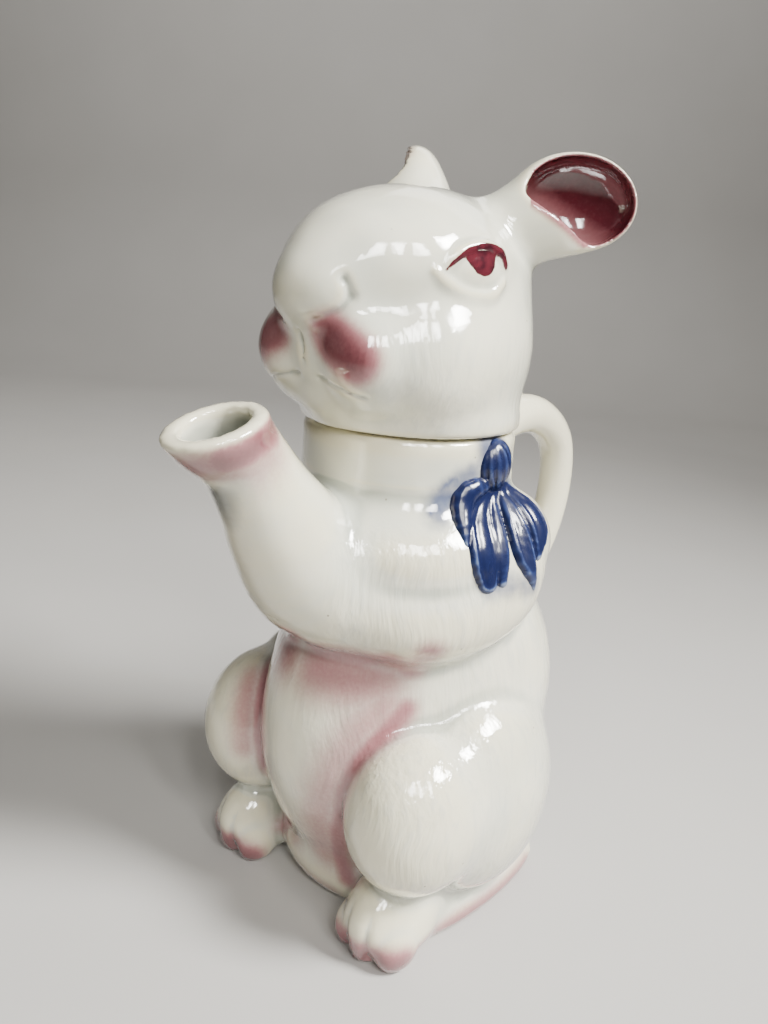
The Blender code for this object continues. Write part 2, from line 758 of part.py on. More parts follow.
def build_ear(name, side, head_clearance):
    """A cupped ear: an egg of clay on a short root, cut open in front, its lower lip folded up."""
    clay = Clay("right" if side < 0 else "whole")
    lift = RIGHT_EAR_RAISE_SHARE * EAR_WIDTH if side < 0 else 0
    head_place = Vector((0, 0, HEAD_BASE))
    place = head_place + in_box(EAR_PLACE_SHARES, HEAD_BOX) + Vector((0, 0, lift))
    turn = (0, EAR_LEAN, EAR_TURN)
    body = Vector((EAR_LENGTH, EAR_DEPTH, EAR_WIDTH)) / 2
    spin = Euler([math.radians(angle) for angle in turn]).to_matrix()
    front = spin @ Vector((0, -1, 0))
    fold = spin @ Vector((math.cos(math.radians(EAR_FOLD)), 0, math.sin(math.radians(EAR_FOLD))))
    cup = body - Vector((EAR_RIM, EAR_RIM, EAR_RIM))

    def cut_cup():
        for share in EAR_CUP_SHARES:
            clay.lump(place + front * share * body.y, cup, turn, 0)
        clay.trim(place + fold * EAR_FOLD_SHARE * body.z, fold, LIP_SOFTNESS)

    thickness = EAR_ROOT_THICKNESS_SHARE * EAR_WIDTH
    root = [(head_place + in_box(spot, HEAD_BOX), thickness) for spot in EAR_ROOT_SHARES]
    clay.lump(place, body, turn)
    clay.trim(place + front * EAR_FRONT_SHARE * body.y, front, LIP_SOFTNESS)
    clay.limb(root, soft=SOFTNESS)
    clay.carve(cut_cup, EDGE_SOFTNESS)
    ear = piece(name, clay.mesh(name, EAR_FACETS, grain=EAR_GRAIN), (0.70, 0.45, 0.44))
    boolean(ear, head_clearance)


# The ribbon bow on the left of the neck


def on_skin(skins, away, height):
    """Where the clay's skin lies on the left side, at a distance along Y and a height."""
    start = Vector((2 * POT_HALF_WIDTH, away, height))
    found = [tree.ray_cast(start, Vector((-1, 0, 0)))[0] for tree in skins]
    return max(spot.x for spot in found if spot is not None)


def skin_tree(thing):
    mesh = evaluated_mesh(thing)
    corners = [corner.co for corner in mesh.vertices]
    return BVHTree.FromPolygons(corners, [face.vertices for face in mesh.polygons])


def build_bow(carriers, clearances):
    skins = [skin_tree(thing) for thing in carriers]
    middle_away = KNOT_PLACE_SHARES[0] * POT_HALF_DEPTH
    middle_height = POT_HEIGHT - KNOT_PLACE_SHARES[1] * NECK_HEIGHT
    blue = (0.05, 0.09, 0.34)

    clay = Clay()
    middle = Vector((on_skin(skins, middle_away, middle_height), middle_away, middle_height))
    clay.lump(middle, Vector((KNOT_WIDTH, KNOT_WIDTH, KNOT_HEIGHT)) / 2)
    knot = piece("bow_knot", clay.mesh("bow_knot", KNOT_FACETS), blue)
    keep_clear(knot, clearances)
    taken = clearances + [clearance("bow_knot", knot.data)]

    foot = middle_height - KNOT_HEIGHT / 2
    for name, (places, widths) in BOW_LEAVES_SHARES.items():
        knots = []
        for (across, down), width in zip(places, widths):
            knots.append(((0, middle_away + across * LEAF_FAN, foot - down * LEAF_DROP), width * LEAF_FAN))
        path = []
        for place, radius in smooth_path(knots):
            outward = on_skin(skins, place.y, place.z) + LEAF_LIFT_SHARE * LEAF_FLATNESS_SHARE * radius
            path.append((Vector((outward, place.y, place.z)), radius))
        leaf = piece(name, rod(name, path, LEAF_FLATNESS_SHARE), blue)
        leaf_clearance = clearance(name, leaf.data)
        keep_clear(leaf, taken)
        taken.append(leaf_clearance)


# Start from an empty scene

for thing in list(bpy.data.objects):
    bpy.data.objects.remove(thing, do_unlink=True)
TEAPOT = new_collection("rabbit_teapot")
CUTTERS = new_collection("cutters")

pot_core, pot_clearances = build_pot()
for side_name, side in (("left", 1), ("right", -1)):
    haunch_clearance = build_haunch(side_name + "_haunch", side, pot_clearances)
    build_foot(side_name + "_hind_foot", side, [*pot_clearances, haunch_clearance])
forelegs, foreleg_clearance = build_forelegs(pot_clearances)
build_handle(pot_clearances)
head_clearance = build_head()
build_flange()
build_ear("left_ear", 1, head_clearance)
build_ear("right_ear", -1, head_clearance)
build_bow([pot_core, forelegs], [*pot_clearances, foreleg_clearance])
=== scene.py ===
import math
import bmesh
import bpy
import numpy as np
from mathutils import Euler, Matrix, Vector
from mathutils.bvhtree import BVHTree


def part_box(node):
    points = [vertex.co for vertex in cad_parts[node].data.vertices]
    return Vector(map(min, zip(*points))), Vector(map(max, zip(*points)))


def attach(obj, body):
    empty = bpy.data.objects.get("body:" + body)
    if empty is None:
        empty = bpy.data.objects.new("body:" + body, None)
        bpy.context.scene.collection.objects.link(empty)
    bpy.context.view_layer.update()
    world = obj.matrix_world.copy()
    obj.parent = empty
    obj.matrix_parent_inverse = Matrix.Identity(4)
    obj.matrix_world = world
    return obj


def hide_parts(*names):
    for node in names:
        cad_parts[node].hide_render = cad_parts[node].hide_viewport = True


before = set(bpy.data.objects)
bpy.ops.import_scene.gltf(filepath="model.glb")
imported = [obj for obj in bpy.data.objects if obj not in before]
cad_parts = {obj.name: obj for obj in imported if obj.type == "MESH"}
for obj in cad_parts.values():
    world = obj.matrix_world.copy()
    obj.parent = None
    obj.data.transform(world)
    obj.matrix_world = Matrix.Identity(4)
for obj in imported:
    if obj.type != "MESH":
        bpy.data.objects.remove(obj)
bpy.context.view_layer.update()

# The pot
# One hollow slip casting of white earthenware: belly, haunches, feet, neck, and the two forelegs that hold
# the spout, with the handle luted on behind. The cream glaze runs over every joint, so all of it is one skin.

MM = 0.001
SOFTNESS = 0.010
POT_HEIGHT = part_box("pot_body")[1][2]
POT_BOX = Vector((0.060, 0.048, POT_HEIGHT))
POT_WALL = 0.0045
FLOOR_THICKNESS = 0.005
NECK_RADIUS = 0.0335
NECK_HEIGHT = 0.030
NECK_BORE_RADIUS = 0.0293
FOOT_BOX = Vector((0.027, 0.096, 0.020))
FOOT_PLACE = Vector((0.0335, 0, 0))
FORELEG_RADIUS = 0.017
SPOUT_ROOT = Vector((0, -0.0221, 0.1140))
SPOUT_MOUTH = Vector((0, -0.075, 0.1670))
SPOUT_UP = Vector((0, -math.sin(math.radians(19)), math.cos(math.radians(19))))
SPOUT_RADIUS = 0.013
SPOUT_BORE_RADIUS = 0.00875
HANDLE_REACH = 0.091
HANDLE_TOP = 0.158
HANDLE_FOOT = 0.080
HANDLE_RADIUS = 0.0067
COLLAR_FOOT = 0.1455
COLLAR_ROLL = 0.0029
HAUNCH_FILLET = 0.0055
FOOT_FILLET = 0.0050
FORELEG_FILLET = 0.0065
HANDLE_FILLET = 0.0080
BASE_ROUNDING = 0.0020
CAVITY_ROUNDING = 0.004
BORE_ROUNDING = 0.0020
HOLE_RADIUS = 0.002
HOLE_SPREAD = 0.0068
POT_GRAIN = 0.0014

# Swellings of the pot: centre, half extents (both in shares of the pot's box), turn in degrees
# about x and z, and how softly each runs into the rest.
POT_MIDDLE_SHARES = (
    ((0, 0.125, 0.310), (0.72, 0.92, 0.370), (0, 0), 0.6),
    ((0, 0.170, 0.520), (0.70, 0.92, 0.345), (0, 0), 1.4),
    ((0, -0.250, 0.380), (0.52, 0.75, 0.310), (0, 0), 1.2),
    ((0, -0.040, 0.075), (0.60, 0.67, 0.135), (0, 0), 1.0),
    ((0, 0.085, 0.755), (0.615, 0.75, 0.185), (0, 0), 1.4),
    ((0, -0.080, 0.778), (0.730, 0.85, 0.136), (0, 0), 1.0),
)
POT_SIDE_SHARES = (((0.375, 0.420, 0.450), (0.400, 0.570, 0.247), (0, 0), 1.0),)
HAUNCH_SHARES = (
    ((0.610, 0.130, 0.280), (0.380, 0.700, 0.228), (18, 10), 0.8),
    ((0.610, -0.490, 0.295), (0.350, 0.500, 0.162), (0, 0), 0.8),
)

# Swellings of one foot, in shares of its width, length and height.
FOOT_SHARES = (
    ((0, 0.065, 0.40), (0.44, 0.435, 0.55), (0, 0), 0.5),
    ((0, -0.250, 0.70), (0.43, 0.215, 0.62), (0, 0), 0.6),
    ((0, -0.295, 0.45), (0.50, 0.165, 0.60), (0, 0), 0.6),
    ((-0.28, -0.365, 0.33), (0.22, 0.085, 0.42), (0, 0), 0.15),
    ((0.02, -0.380, 0.36), (0.22, 0.085, 0.44), (0, 0), 0.15),
    ((0.31, -0.350, 0.33), (0.22, 0.085, 0.42), (0, 0), 0.15),
    ((0.25, 0.083, 0.225), (0.26, 0.333, 0.325), (0, 0), 0.5),
)

# Forelegs from the shoulder round to the front: places in shares of the pot's box, then thickness.
FORELEG_SHARES = (
    ((0.500, 0.250, 0.790), 1.00),
    ((0.567, 0.040, 0.710), 0.94),
    ((0.450, -0.375, 0.673), 0.91),
    ((0.167, -0.690, 0.700), 0.94),
)

# Spout from its root to its mouth: shares of the run out and of the rise, then of the mouth's radius.
SPOUT_SHARES = (
    (0.00, 0.000, 1.70),
    (0.30, 0.115, 1.60),
    (0.49, 0.325, 1.35),
    (0.652, 0.558, 1.08),
    (0.808, 0.784, 0.945),
    (0.915, 0.905, 0.985),
    (1.00, 1.000, 1.08),
)
CHANNEL_SHARES = (
    (0.12, 0.050, 1.25),
    (0.36, 0.150, 1.32),
    (0.52, 0.360, 1.22),
    (0.652, 0.558, 1.04),
    (0.808, 0.784, 0.95),
    (0.915, 0.905, 0.96),
    (1.00, 1.000, 1.02),
)

# Handle from the neck over to the grip, and from the grip down to the back: shares out and up,
# then of the grip's radius.
HANDLE_UP_SHARES = ((0, 0.87, 1.35), (0.36, 1.0, 1.15), (0.69, 1.0, 1.08), (0.95, 0.85, 1.0))
HANDLE_DOWN_SHARES = ((1.0, 0.58, 0.97), (0.86, 0.32, 0.97), (0.51, 0.10, 1.08), (0, 0, 1.25))


def in_box(shares, box):
    return Vector((shares[0] * box.x, shares[1] * box.y, shares[2] * box.z))


def smooth_path(knots, steps=6):
    """Points and radii on a smooth curve through the knots, each a (point, radius) pair."""
    spots = [Vector((*point, radius)) for point, radius in knots]
    ends = [2 * spots[0] - spots[1], *spots, 2 * spots[-1] - spots[-2]]
    path = []
    for before, first, last, after in zip(ends, ends[1:], ends[2:], ends[3:]):
        for step in range(steps):
            share = step / steps
            spot = first * 2 + (last - before) * share
            spot = spot + (2 * before - 5 * first + 4 * last - after) * share**2
            spot = spot + (3 * first - before - 3 * last + after) * share**3
            path.append(spot / 2)
    path.append(spots[-1])
    return [(Vector(spot[:3]), spot[3]) for spot in path]


class Clay:
    """A soft form, held as a field of distances: below zero inside, above zero outside."""

    def __init__(self, name):
        self.name = name
        self.tree = bpy.data.node_groups.new(name, "GeometryNodeTree")
        self.tree.interface.new_socket("Geometry", in_out="OUTPUT", socket_type="NodeSocketGeometry")
        self.low = None
        self.high = None
        self.field = None
        position = self.tree.nodes.new("GeometryNodeInputPosition").outputs[0]
        self.here = position
        self.folded = self.fold(position)

    def fold(self, position):
        """The place seen from the left half, so that one swelling serves both sides."""
        parts = self.tree.nodes.new("ShaderNodeSeparateXYZ")
        self.tree.links.new(position, parts.inputs[0])
        joined = self.tree.nodes.new("ShaderNodeCombineXYZ")
        self.tree.links.new(self.number("ABSOLUTE", parts.outputs[0]), joined.inputs[0])
        self.tree.links.new(parts.outputs[1], joined.inputs[1])
        self.tree.links.new(parts.outputs[2], joined.inputs[2])
        return joined.outputs[0]

    def feed(self, socket, value):
        if isinstance(value, bpy.types.NodeSocket):
            self.tree.links.new(value, socket)
        else:
            socket.default_value = value

    def number(self, operation, first, second=0.0, third=0.0):
        node = self.tree.nodes.new("ShaderNodeMath")
        node.operation = operation
        for socket, value in zip(node.inputs, (first, second, third)):
            self.feed(socket, value)
        return node.outputs[0]

    def vector(self, operation, first, second=(0, 0, 0)):
        node = self.tree.nodes.new("ShaderNodeVectorMath")
        node.operation = operation
        self.feed(node.inputs[0], first)
        self.feed(node.inputs[1], second)
        return node.outputs["Value" if operation in ("LENGTH", "DOT_PRODUCT") else "Vector"]

    def scaled(self, direction, factor):
        node = self.tree.nodes.new("ShaderNodeVectorMath")
        node.operation = "SCALE"
        node.inputs[0].default_value = direction
        self.tree.links.new(factor, node.inputs["Scale"])
        return node.outputs["Vector"]

    def reach(self, point, radius, pair):
        """Widen the box that the finished form is sought in."""
        spots = [Vector(point)]
        if pair:
            spots.append(Vector((-point[0], point[1], point[2])))
        for spot in spots:
            low = spot - Vector((radius, radius, radius))
            high = spot + Vector((radius, radius, radius))
            self.low = low if self.low is None else Vector(map(min, self.low, low))
            self.high = high if self.high is None else Vector(map(max, self.high, high))

    def join(self, distance, soft):
        if self.field is None:
            self.field = distance
        else:
            self.field = self.number("SMOOTH_MIN", self.field, distance, soft)

    def lump(self, centre, radii, turn=(0, 0, 0), soft=SOFTNESS, pair=False, open_front=False):
        """An egg-shaped swelling. With an open front it runs on forward as a rod does."""
        centre = tuple(centre)
        offset = self.vector("SUBTRACT", self.folded if pair else self.here, centre)
        if any(turn):
            spin = self.tree.nodes.new("ShaderNodeVectorRotate")
            spin.rotation_type = "EULER_XYZ"
            spin.invert = True
            self.tree.links.new(offset, spin.inputs["Vector"])
            spin.inputs["Rotation"].default_value = [math.radians(angle) for angle in turn]
            offset = spin.outputs[0]
        if open_front:
            offset = self.vector("MAXIMUM", offset, (-1, 0, -1))
        once = self.vector("DIVIDE", offset, tuple(radii))
        twice = self.vector("DIVIDE", once, tuple(radii))
        near = self.vector("LENGTH", once)
        slope = self.vector("LENGTH", twice)
        excess = self.number("SUBTRACT", near, 1.0)
        distance = self.number("DIVIDE", self.number("MULTIPLY", near, excess), slope)
        self.reach(centre, max(radii), pair)
        self.join(distance, soft)

    def swellings(self, table, box, place=Vector((0, 0, 0)), pair=False):
        """A table of swellings, in shares of a box that stands at a place."""
        for centre, radii, (lean, swing), soft in table:
            turn = (lean, 0, swing)
            self.lump(place + in_box(centre, box), in_box(radii, box), turn, soft * SOFTNESS, pair)

    def stretches(self, path, pair):
        """For each stretch of a path: how far a place lies from it, and how thick it is beside that place."""
        start = self.folded if pair else self.here
        for (first, first_radius), (last, last_radius) in zip(path, path[1:]):
            run = last - first
            offset = self.vector("SUBTRACT", start, tuple(first))
            along = self.vector("DOT_PRODUCT", offset, tuple(run / run.length_squared))
            along = self.number("MINIMUM", self.number("MAXIMUM", along, 0.0), 1.0)
            away = self.vector("LENGTH", self.vector("SUBTRACT", offset, self.scaled(tuple(run), along)))
            yield away, self.number("MULTIPLY_ADD", along, last_radius - first_radius, first_radius)
        for point, radius in path:
            self.reach(point, radius, pair)

    def rod(self, path, pair=False):
        """Distance from a rod of changing thickness along a smooth path of (point, radius) pairs."""
        best = None
        for away, radius in self.stretches(path, pair):
            distance = self.number("SUBTRACT", away, radius)
            best = distance if best is None else self.number("MINIMUM", best, distance)
        return best

    def leaf(self, path):
        """How deep a place lies in a leaf, and how far across: 0 on its middle line, 1 on its edge."""
        deepest = None
        nearest = None
        for away, radius in self.stretches(path, False):
            depth = self.number("SUBTRACT", radius, away)
            share = self.number("DIVIDE", away, radius)
            deepest = depth if deepest is None else self.number("MAXIMUM", deepest, depth)
            nearest = share if nearest is None else self.number("MINIMUM", nearest, share)
        return self.number("MAXIMUM", deepest, 0.0), nearest

    def limb(self, path, soft=SOFTNESS, pair=False):
        self.join(self.rod(path, pair), soft)

    def upright(self, radius, low, high, roll):
        """How far a place lies outside the side and the ends of a block about the Z axis, less its roll."""
        flat = self.vector("LENGTH", self.vector("MULTIPLY", self.here, (1, 1, 0)))
        level = self.vector("DOT_PRODUCT", self.here, (0, 0, 1))
        cap = self.number("ABSOLUTE", self.number("SUBTRACT", level, (low + high) / 2))
        cap = self.number("SUBTRACT", cap, (high - low) / 2 - roll)
        return self.number("SUBTRACT", flat, radius - roll), cap

    def drum(self, radius, low, high, soft):
        """An upright round block about the Z axis."""
        side, cap = self.upright(radius, low, high, 0)
        self.join(self.number("MAXIMUM", side, cap), soft)

    def trim(self, point, outward, soft):
        """Cut the form off at a plane, with a softened edge."""
        offset = self.vector("SUBTRACT", self.here, tuple(point))
        beyond = self.vector("DOT_PRODUCT", offset, tuple(outward))
        self.field = self.number("SMOOTH_MAX", self.field, beyond, soft)

    def ring(self, radius, low, high, roll, soft):
        """An upright round block about the Z axis whose edges are rolled over."""
        side, cap = self.upright(radius, low, high, roll)
        beside = self.number("POWER", self.number("MAXIMUM", side, 0.0), 2.0)
        above = self.number("POWER", self.number("MAXIMUM", cap, 0.0), 2.0)
        outer = self.number("SQRT", self.number("ADD", beside, above))
        inner = self.number("MINIMUM", self.number("MAXIMUM", side, cap), 0.0)
        self.join(self.number("SUBTRACT", self.number("ADD", outer, inner), roll), soft)

    def fuse(self, make, soft):
        """Lute the form that make adds onto the rest, with a fillet."""
        solid = self.field
        self.field = None
        make()
        self.field = self.number("SMOOTH_MIN", solid, self.field, soft)

    def hollow(self, cavity, soft):
        """Take a cavity out of the form, with softened edges."""
        self.field = self.number("SMOOTH_MAX", self.field, self.number("MULTIPLY", cavity, -1.0), soft)

    def carve(self, make, soft):
        """Cut away the form that make adds, with softened edges."""
        solid, low, high = self.field, self.low, self.high
        self.field = None
        make()
        cavity = self.field
        self.field, self.low, self.high = solid, low, high
        self.hollow(cavity, soft)

    def mesh(self, grain, finish, settling=0.9):
        """The form's skin with facets of about one grain, as a plain mesh."""
        margin = Vector((1, 1, 1)) * 3 * grain
        low = self.low - margin
        high = self.high + margin
        sizes = {"Lowest corner": low, "Highest corner": high, "Finish": finish}
        for axis, span in zip("XYZ", high - low):
            sizes["Grains along " + axis] = math.ceil(span / grain)
        kinds = {"Lowest corner": "Vector", "Highest corner": "Vector", "Finish": "Material"}
        keys = {}
        for label in sizes:
            kind = "NodeSocket" + kinds.get(label, "Int")
            socket = self.tree.interface.new_socket(label, in_out="INPUT", socket_type=kind)
            keys[label] = socket.identifier
        given = self.tree.nodes.new("NodeGroupInput")
        cube = self.tree.nodes.new("GeometryNodeVolumeCube")
        self.tree.links.new(self.number("MULTIPLY", self.field, -1.0), cube.inputs["Density"])
        cube.inputs["Background"].default_value = -grain
        self.tree.links.new(given.outputs["Lowest corner"], cube.inputs["Min"])
        self.tree.links.new(given.outputs["Highest corner"], cube.inputs["Max"])
        for axis in "XYZ":
            self.tree.links.new(given.outputs["Grains along " + axis], cube.inputs["Resolution " + axis])
        skin = self.tree.nodes.new("GeometryNodeVolumeToMesh")
        skin.inputs["Threshold"].default_value = 0.0
        settle = self.tree.nodes.new("GeometryNodeSetPosition")
        normal = self.tree.nodes.new("GeometryNodeInputNormal")
        offset = self.tree.nodes.new("ShaderNodeVectorMath")
        offset.operation = "SCALE"
        whole = self.tree.nodes.new("GeometryNodeRealizeInstances")
        coat = self.tree.nodes.new("GeometryNodeSetMaterial")
        result = self.tree.nodes.new("NodeGroupOutput")
        join = self.tree.links.new
        join(cube.outputs[0], skin.inputs["Volume"])
        join(normal.outputs[0], offset.inputs[0])
        join(self.number("MULTIPLY", self.field, -settling), offset.inputs["Scale"])
        join(offset.outputs[0], settle.inputs["Offset"])
        join(skin.outputs[0], settle.inputs["Geometry"])
        join(settle.outputs[0], whole.inputs[0])
        join(whole.outputs[0], coat.inputs["Geometry"])
        join(given.outputs["Finish"], coat.inputs["Material"])
        join(coat.outputs[0], result.inputs[0])
        carrier = bpy.data.objects.new(self.name, bpy.data.meshes.new(self.name))
        bpy.context.scene.collection.objects.link(carrier)
        step = carrier.modifiers.new("Clay", "NODES")
        step.node_group = self.tree
        for label, value in sizes.items():
            step[keys[label]] = value
        graph = bpy.context.evaluated_depsgraph_get()
        mesh = bpy.data.meshes.new_from_object(carrier.evaluated_get(graph), depsgraph=graph)
        carrier.modifiers.remove(step)
        bpy.data.objects.remove(carrier)
        mesh.name = self.name
        mesh.shade_smooth()
        return mesh


def spout_path(table, radius):
    """Centre line of the spout or its channel, run on past the mouth."""
    run = SPOUT_MOUTH - SPOUT_ROOT
    knots = [(SPOUT_ROOT + Vector((0, out * run.y, up * run.z)), share * radius) for out, up, share in table]
    ahead = (knots[-1][0] - knots[-2][0]).normalized()
    knots.append((knots[-1][0] + ahead * SPOUT_RADIUS, knots[-1][1]))
    return smooth_path(knots)


def throw_body(clay):
    """Belly, rump and haunches, up to where the neck starts."""
    clay.swellings(POT_MIDDLE_SHARES, POT_BOX)
    clay.swellings(POT_SIDE_SHARES, POT_BOX, pair=True)
    clay.fuse(lambda: clay.swellings(HAUNCH_SHARES, POT_BOX, pair=True), HAUNCH_FILLET)
    neck_base = POT_HEIGHT - NECK_HEIGHT
    clay.drum(0.975 * NECK_RADIUS, neck_base - NECK_HEIGHT, neck_base + 0.5 * NECK_HEIGHT, 1.2 * SOFTNESS)


def add_collar(clay):
    clay.ring(1.01 * NECK_RADIUS, COLLAR_FOOT, POT_HEIGHT, COLLAR_ROLL, 0.0030)


def toe_groove(across, tree):
    """A groove between two toes, laid on the foot's skin from its top round to the floor."""
    middle = Vector((FOOT_PLACE.x + across, -0.030, 0.003))
    groove = []
    for angle, radius in ((36, 0.0001), (48, 0.0004), (62, 0.0007), (76, 0.0009), (92, 0.0009)):
        turn = math.radians(angle)
        outward = Vector((0, -math.sin(turn), math.cos(turn)))
        groove.append((tree.ray_cast(middle + 0.06 * outward, -outward)[0], radius))
    return groove


def add_feet(clay):
    clay.swellings(FOOT_SHARES, FOOT_BOX, FOOT_PLACE, pair=True)
    foot = bpy.data.objects["left_hind_foot"]
    tree = BVHTree.FromPolygons([foot.matrix_world @ v.co for v in foot.data.vertices],
                                [face.vertices for face in foot.data.polygons])
    for across in (-3.6 * MM, 4.4 * MM):
        groove = smooth_path(toe_groove(across, tree), 2)
        clay.carve(lambda: clay.limb(groove, pair=True), 0.0026)


def add_forelegs(clay):
    legs = [(in_box(place, POT_BOX), share * FORELEG_RADIUS) for place, share in FORELEG_SHARES]
    clay.limb(smooth_path(legs), pair=True)
    clay.limb(spout_path(SPOUT_SHARES, SPOUT_RADIUS), soft=0.012)
    clay.trim(SPOUT_MOUTH, SPOUT_UP, 0.0035)


def add_handle(clay):
    knots = []
    roots = (0.83 * NECK_RADIUS, 0.83 * POT_BOX.y)
    rise = HANDLE_TOP - HANDLE_FOOT
    for table, root in zip((HANDLE_UP_SHARES, HANDLE_DOWN_SHARES), roots):
        for out, up, share in table:
            place = Vector((0, root + out * (HANDLE_REACH - root), HANDLE_FOOT + up * rise))
            knots.append((place, share * HANDLE_RADIUS))
    clay.limb(smooth_path(knots))


pot = Clay("pot_skin")
throw_body(pot)
body_field = pot.field
add_collar(pot)
pot.fuse(lambda: add_feet(pot), FOOT_FILLET)
pot.fuse(lambda: add_forelegs(pot), FORELEG_FILLET)
pot.fuse(lambda: add_handle(pot), HANDLE_FILLET)
pot.trim((0, 0, 0), (0, 0, -1), BASE_ROUNDING)

above_floor = pot.number("SUBTRACT", FLOOR_THICKNESS, pot.vector("DOT_PRODUCT", pot.here, (0, 0, 1)))
cavity = pot.number("SMOOTH_MAX", pot.number("ADD", body_field, POT_WALL), above_floor, CAVITY_ROUNDING)
pot.hollow(cavity, 0)
bore_foot = POT_HEIGHT - 2 * NECK_HEIGHT
pot.carve(lambda: pot.drum(NECK_BORE_RADIUS, bore_foot, POT_HEIGHT + 0.01, 0), BORE_ROUNDING)


def add_channel():
    pot.limb(spout_path(CHANNEL_SHARES, SPOUT_BORE_RADIUS))
    pot.field = pot.number("MAXIMUM", pot.field, pot.number("MULTIPLY", body_field, -1.0))


def add_strainer():
    for hole in range(7):
        angle = math.pi * hole / 3
        ring = 0 if hole == 6 else HOLE_SPREAD
        place = Vector((ring * math.cos(angle), 0, SPOUT_ROOT.z + 0.05 * (SPOUT_MOUTH.z - SPOUT_ROOT.z)))
        place.z += ring * math.sin(angle)
        ends = (place + Vector((0, -0.052, 0)), place + Vector((0, -0.028, 0)))
        pot.limb([(end, HOLE_RADIUS) for end in ends])


pot.carve(add_channel, 0.0030)
pot.carve(add_strainer, 0.0010)

# Paint: how near each point of the skin lies to a painted stroke is kept on the mesh, and the glaze turns
# it to colour.


def points_of(mesh):
    spots = np.empty(3 * len(mesh.vertices))
    mesh.vertices.foreach_get("co", spots)
    return spots.reshape(-1, 3)


def from_stroke(spots, path):
    """How far each point lies from a painted stroke."""
    path = np.asarray(path, float) * MM
    nearest = np.full(len(spots), 1.0)
    for first, last in zip(path[:-1], path[1:]):
        run = last - first
        along = np.clip((spots - first) @ run / (run @ run), 0, 1)
        nearest = np.minimum(nearest, np.linalg.norm(spots - first - along[:, None] * run, axis=1))
    return nearest


def faded(distance, full, gone):
    """1 where the distance is below full, 0 beyond gone, both in millimetres."""
    share = np.clip((gone * MM - distance) / ((gone - full) * MM), 0, 1)
    return share * share * (3 - 2 * share)


def keep_paint(mesh, name, values):
    layer = mesh.attributes.new(name, "FLOAT", "POINT")
    layer.data.foreach_set("value", np.asarray(values, np.float32))


def mirrored(path):
    return [(-x, y, z) for x, y, z in path]


def softened(mesh, rounds):
    """The mesh's points after rounds of moving each halfway to the middle of its neighbours."""
    spots = points_of(mesh)
    ends = np.empty(2 * len(mesh.edges), int)
    mesh.edges.foreach_get("vertices", ends)
    ends = ends.reshape(-1, 2)
    starts, stops = np.concatenate([ends, ends[:, ::-1]]).T
    count = np.maximum(np.bincount(starts, minlength=len(spots)), 1)
    soft = spots.copy()
    for _ in range(rounds):
        for axis in range(3):
            around = np.bincount(starts, soft[stops, axis], len(spots)) / count
            soft[:, axis] = 0.5 * (soft[:, axis] + around)
    return soft


def hollows(mesh, rounds):
    """How deep each point lies in a hollow, or how high on a ridge (below zero), in millimetres."""
    normals = np.empty(3 * len(mesh.vertices))
    mesh.vertices.foreach_get("normal", normals)
    return ((softened(mesh, rounds) - points_of(mesh)) * normals.reshape(-1, 3)).sum(axis=1) / MM


class Finish:
    """A glaze or clay, made of nodes."""

    def __init__(self, name):
        self.paint = bpy.data.materials.new(name)
        self.paint.use_nodes = True
        self.nodes = self.paint.node_tree.nodes
        self.links = self.paint.node_tree.links
        self.shader = self.nodes["Principled BSDF"]
        self.place = self.nodes.new("ShaderNodeTexCoord").outputs["Object"]

    def node(self, kind, inputs=None, **settings):
        made = self.nodes.new("ShaderNode" + kind)
        for name, value in settings.items():
            setattr(made, name, value)
        for name, value in (inputs or {}).items():
            if isinstance(value, bpy.types.NodeSocket):
                self.links.new(value, made.inputs[name])
            else:
                made.inputs[name].default_value = value
        return made

    def kept(self, name):
        return self.node("Attribute", attribute_name=name).outputs["Fac"]

    def noise(self, scale, detail=2.0, place=None, rough=0.5):
        inputs = {"Vector": place or self.place, "Scale": scale, "Detail": detail, "Roughness": rough}
        return self.node("TexNoise", inputs).outputs["Fac"]

    def range(self, value, low, high, to_low=0.0, to_high=1.0):
        inputs = {"Value": value, "From Min": low, "From Max": high, "To Min": to_low, "To Max": to_high}
        return self.node("MapRange", inputs, interpolation_type="SMOOTHSTEP").outputs["Result"]

    def sum(self, operation, first, second):
        return self.node("Math", {0: first, 1: second}, operation=operation).outputs[0]

    def stir(self, noise, amount):
        """A noise evened out about zero and scaled."""
        return self.sum("MULTIPLY", self.sum("SUBTRACT", noise, 0.5), amount)

    def mix(self, share, first, second):
        return self.node("Mix", {0: share, 6: first, 7: second}, data_type="RGBA").outputs[2]

    def ramp(self, value, *stops):
        made = self.node("ValToRGB", {"Fac": value})
        elements = made.color_ramp.elements
        while len(elements) < len(stops):
            elements.new(1)
        for element, (place, colour) in zip(elements, stops):
            element.position = place
            element.color = (*colour, 1)
        return made.outputs["Color"]

    def bump(self, height, depth, under=None):
        inputs = {"Height": height, "Strength": 1.0, "Distance": depth}
        if under is not None:
            inputs["Normal"] = under
        return self.node("Bump", inputs).outputs["Normal"]

    def join(self, name, value):
        if isinstance(value, bpy.types.NodeSocket):
            self.links.new(value, self.shader.inputs[name])
        else:
            self.shader.inputs[name].default_value = value


CREAM = (0.660, 0.640, 0.515)
# Painted shade for the hollows of the cream glaze.
CREAM_PAINTED_SHADE = (0.400, 0.414, 0.345)
CREAM_DULL = (0.555, 0.558, 0.462)
# Warm cream, used as painted light on the ridges and as the glaze's own warm patches.
WARM_CREAM_AND_RIDGE_LIGHT = (0.680, 0.630, 0.450)
# Painted shade for the inside of the spout's channel.
CHANNEL_SHADE = (0.150, 0.155, 0.130)
ROSE = (0.400, 0.170, 0.178)
MAROON = (0.072, 0.011, 0.017)
COBALT = (0.016, 0.034, 0.125)
FUR_GREY = (0.44, 0.455, 0.42)
SPECK_BROWN = (0.10, 0.075, 0.05)
EYE_DARK = (0.030, 0.006, 0.010)
GLAZE_INDEX = 1.5
GLAZE_SHINE = 0.03


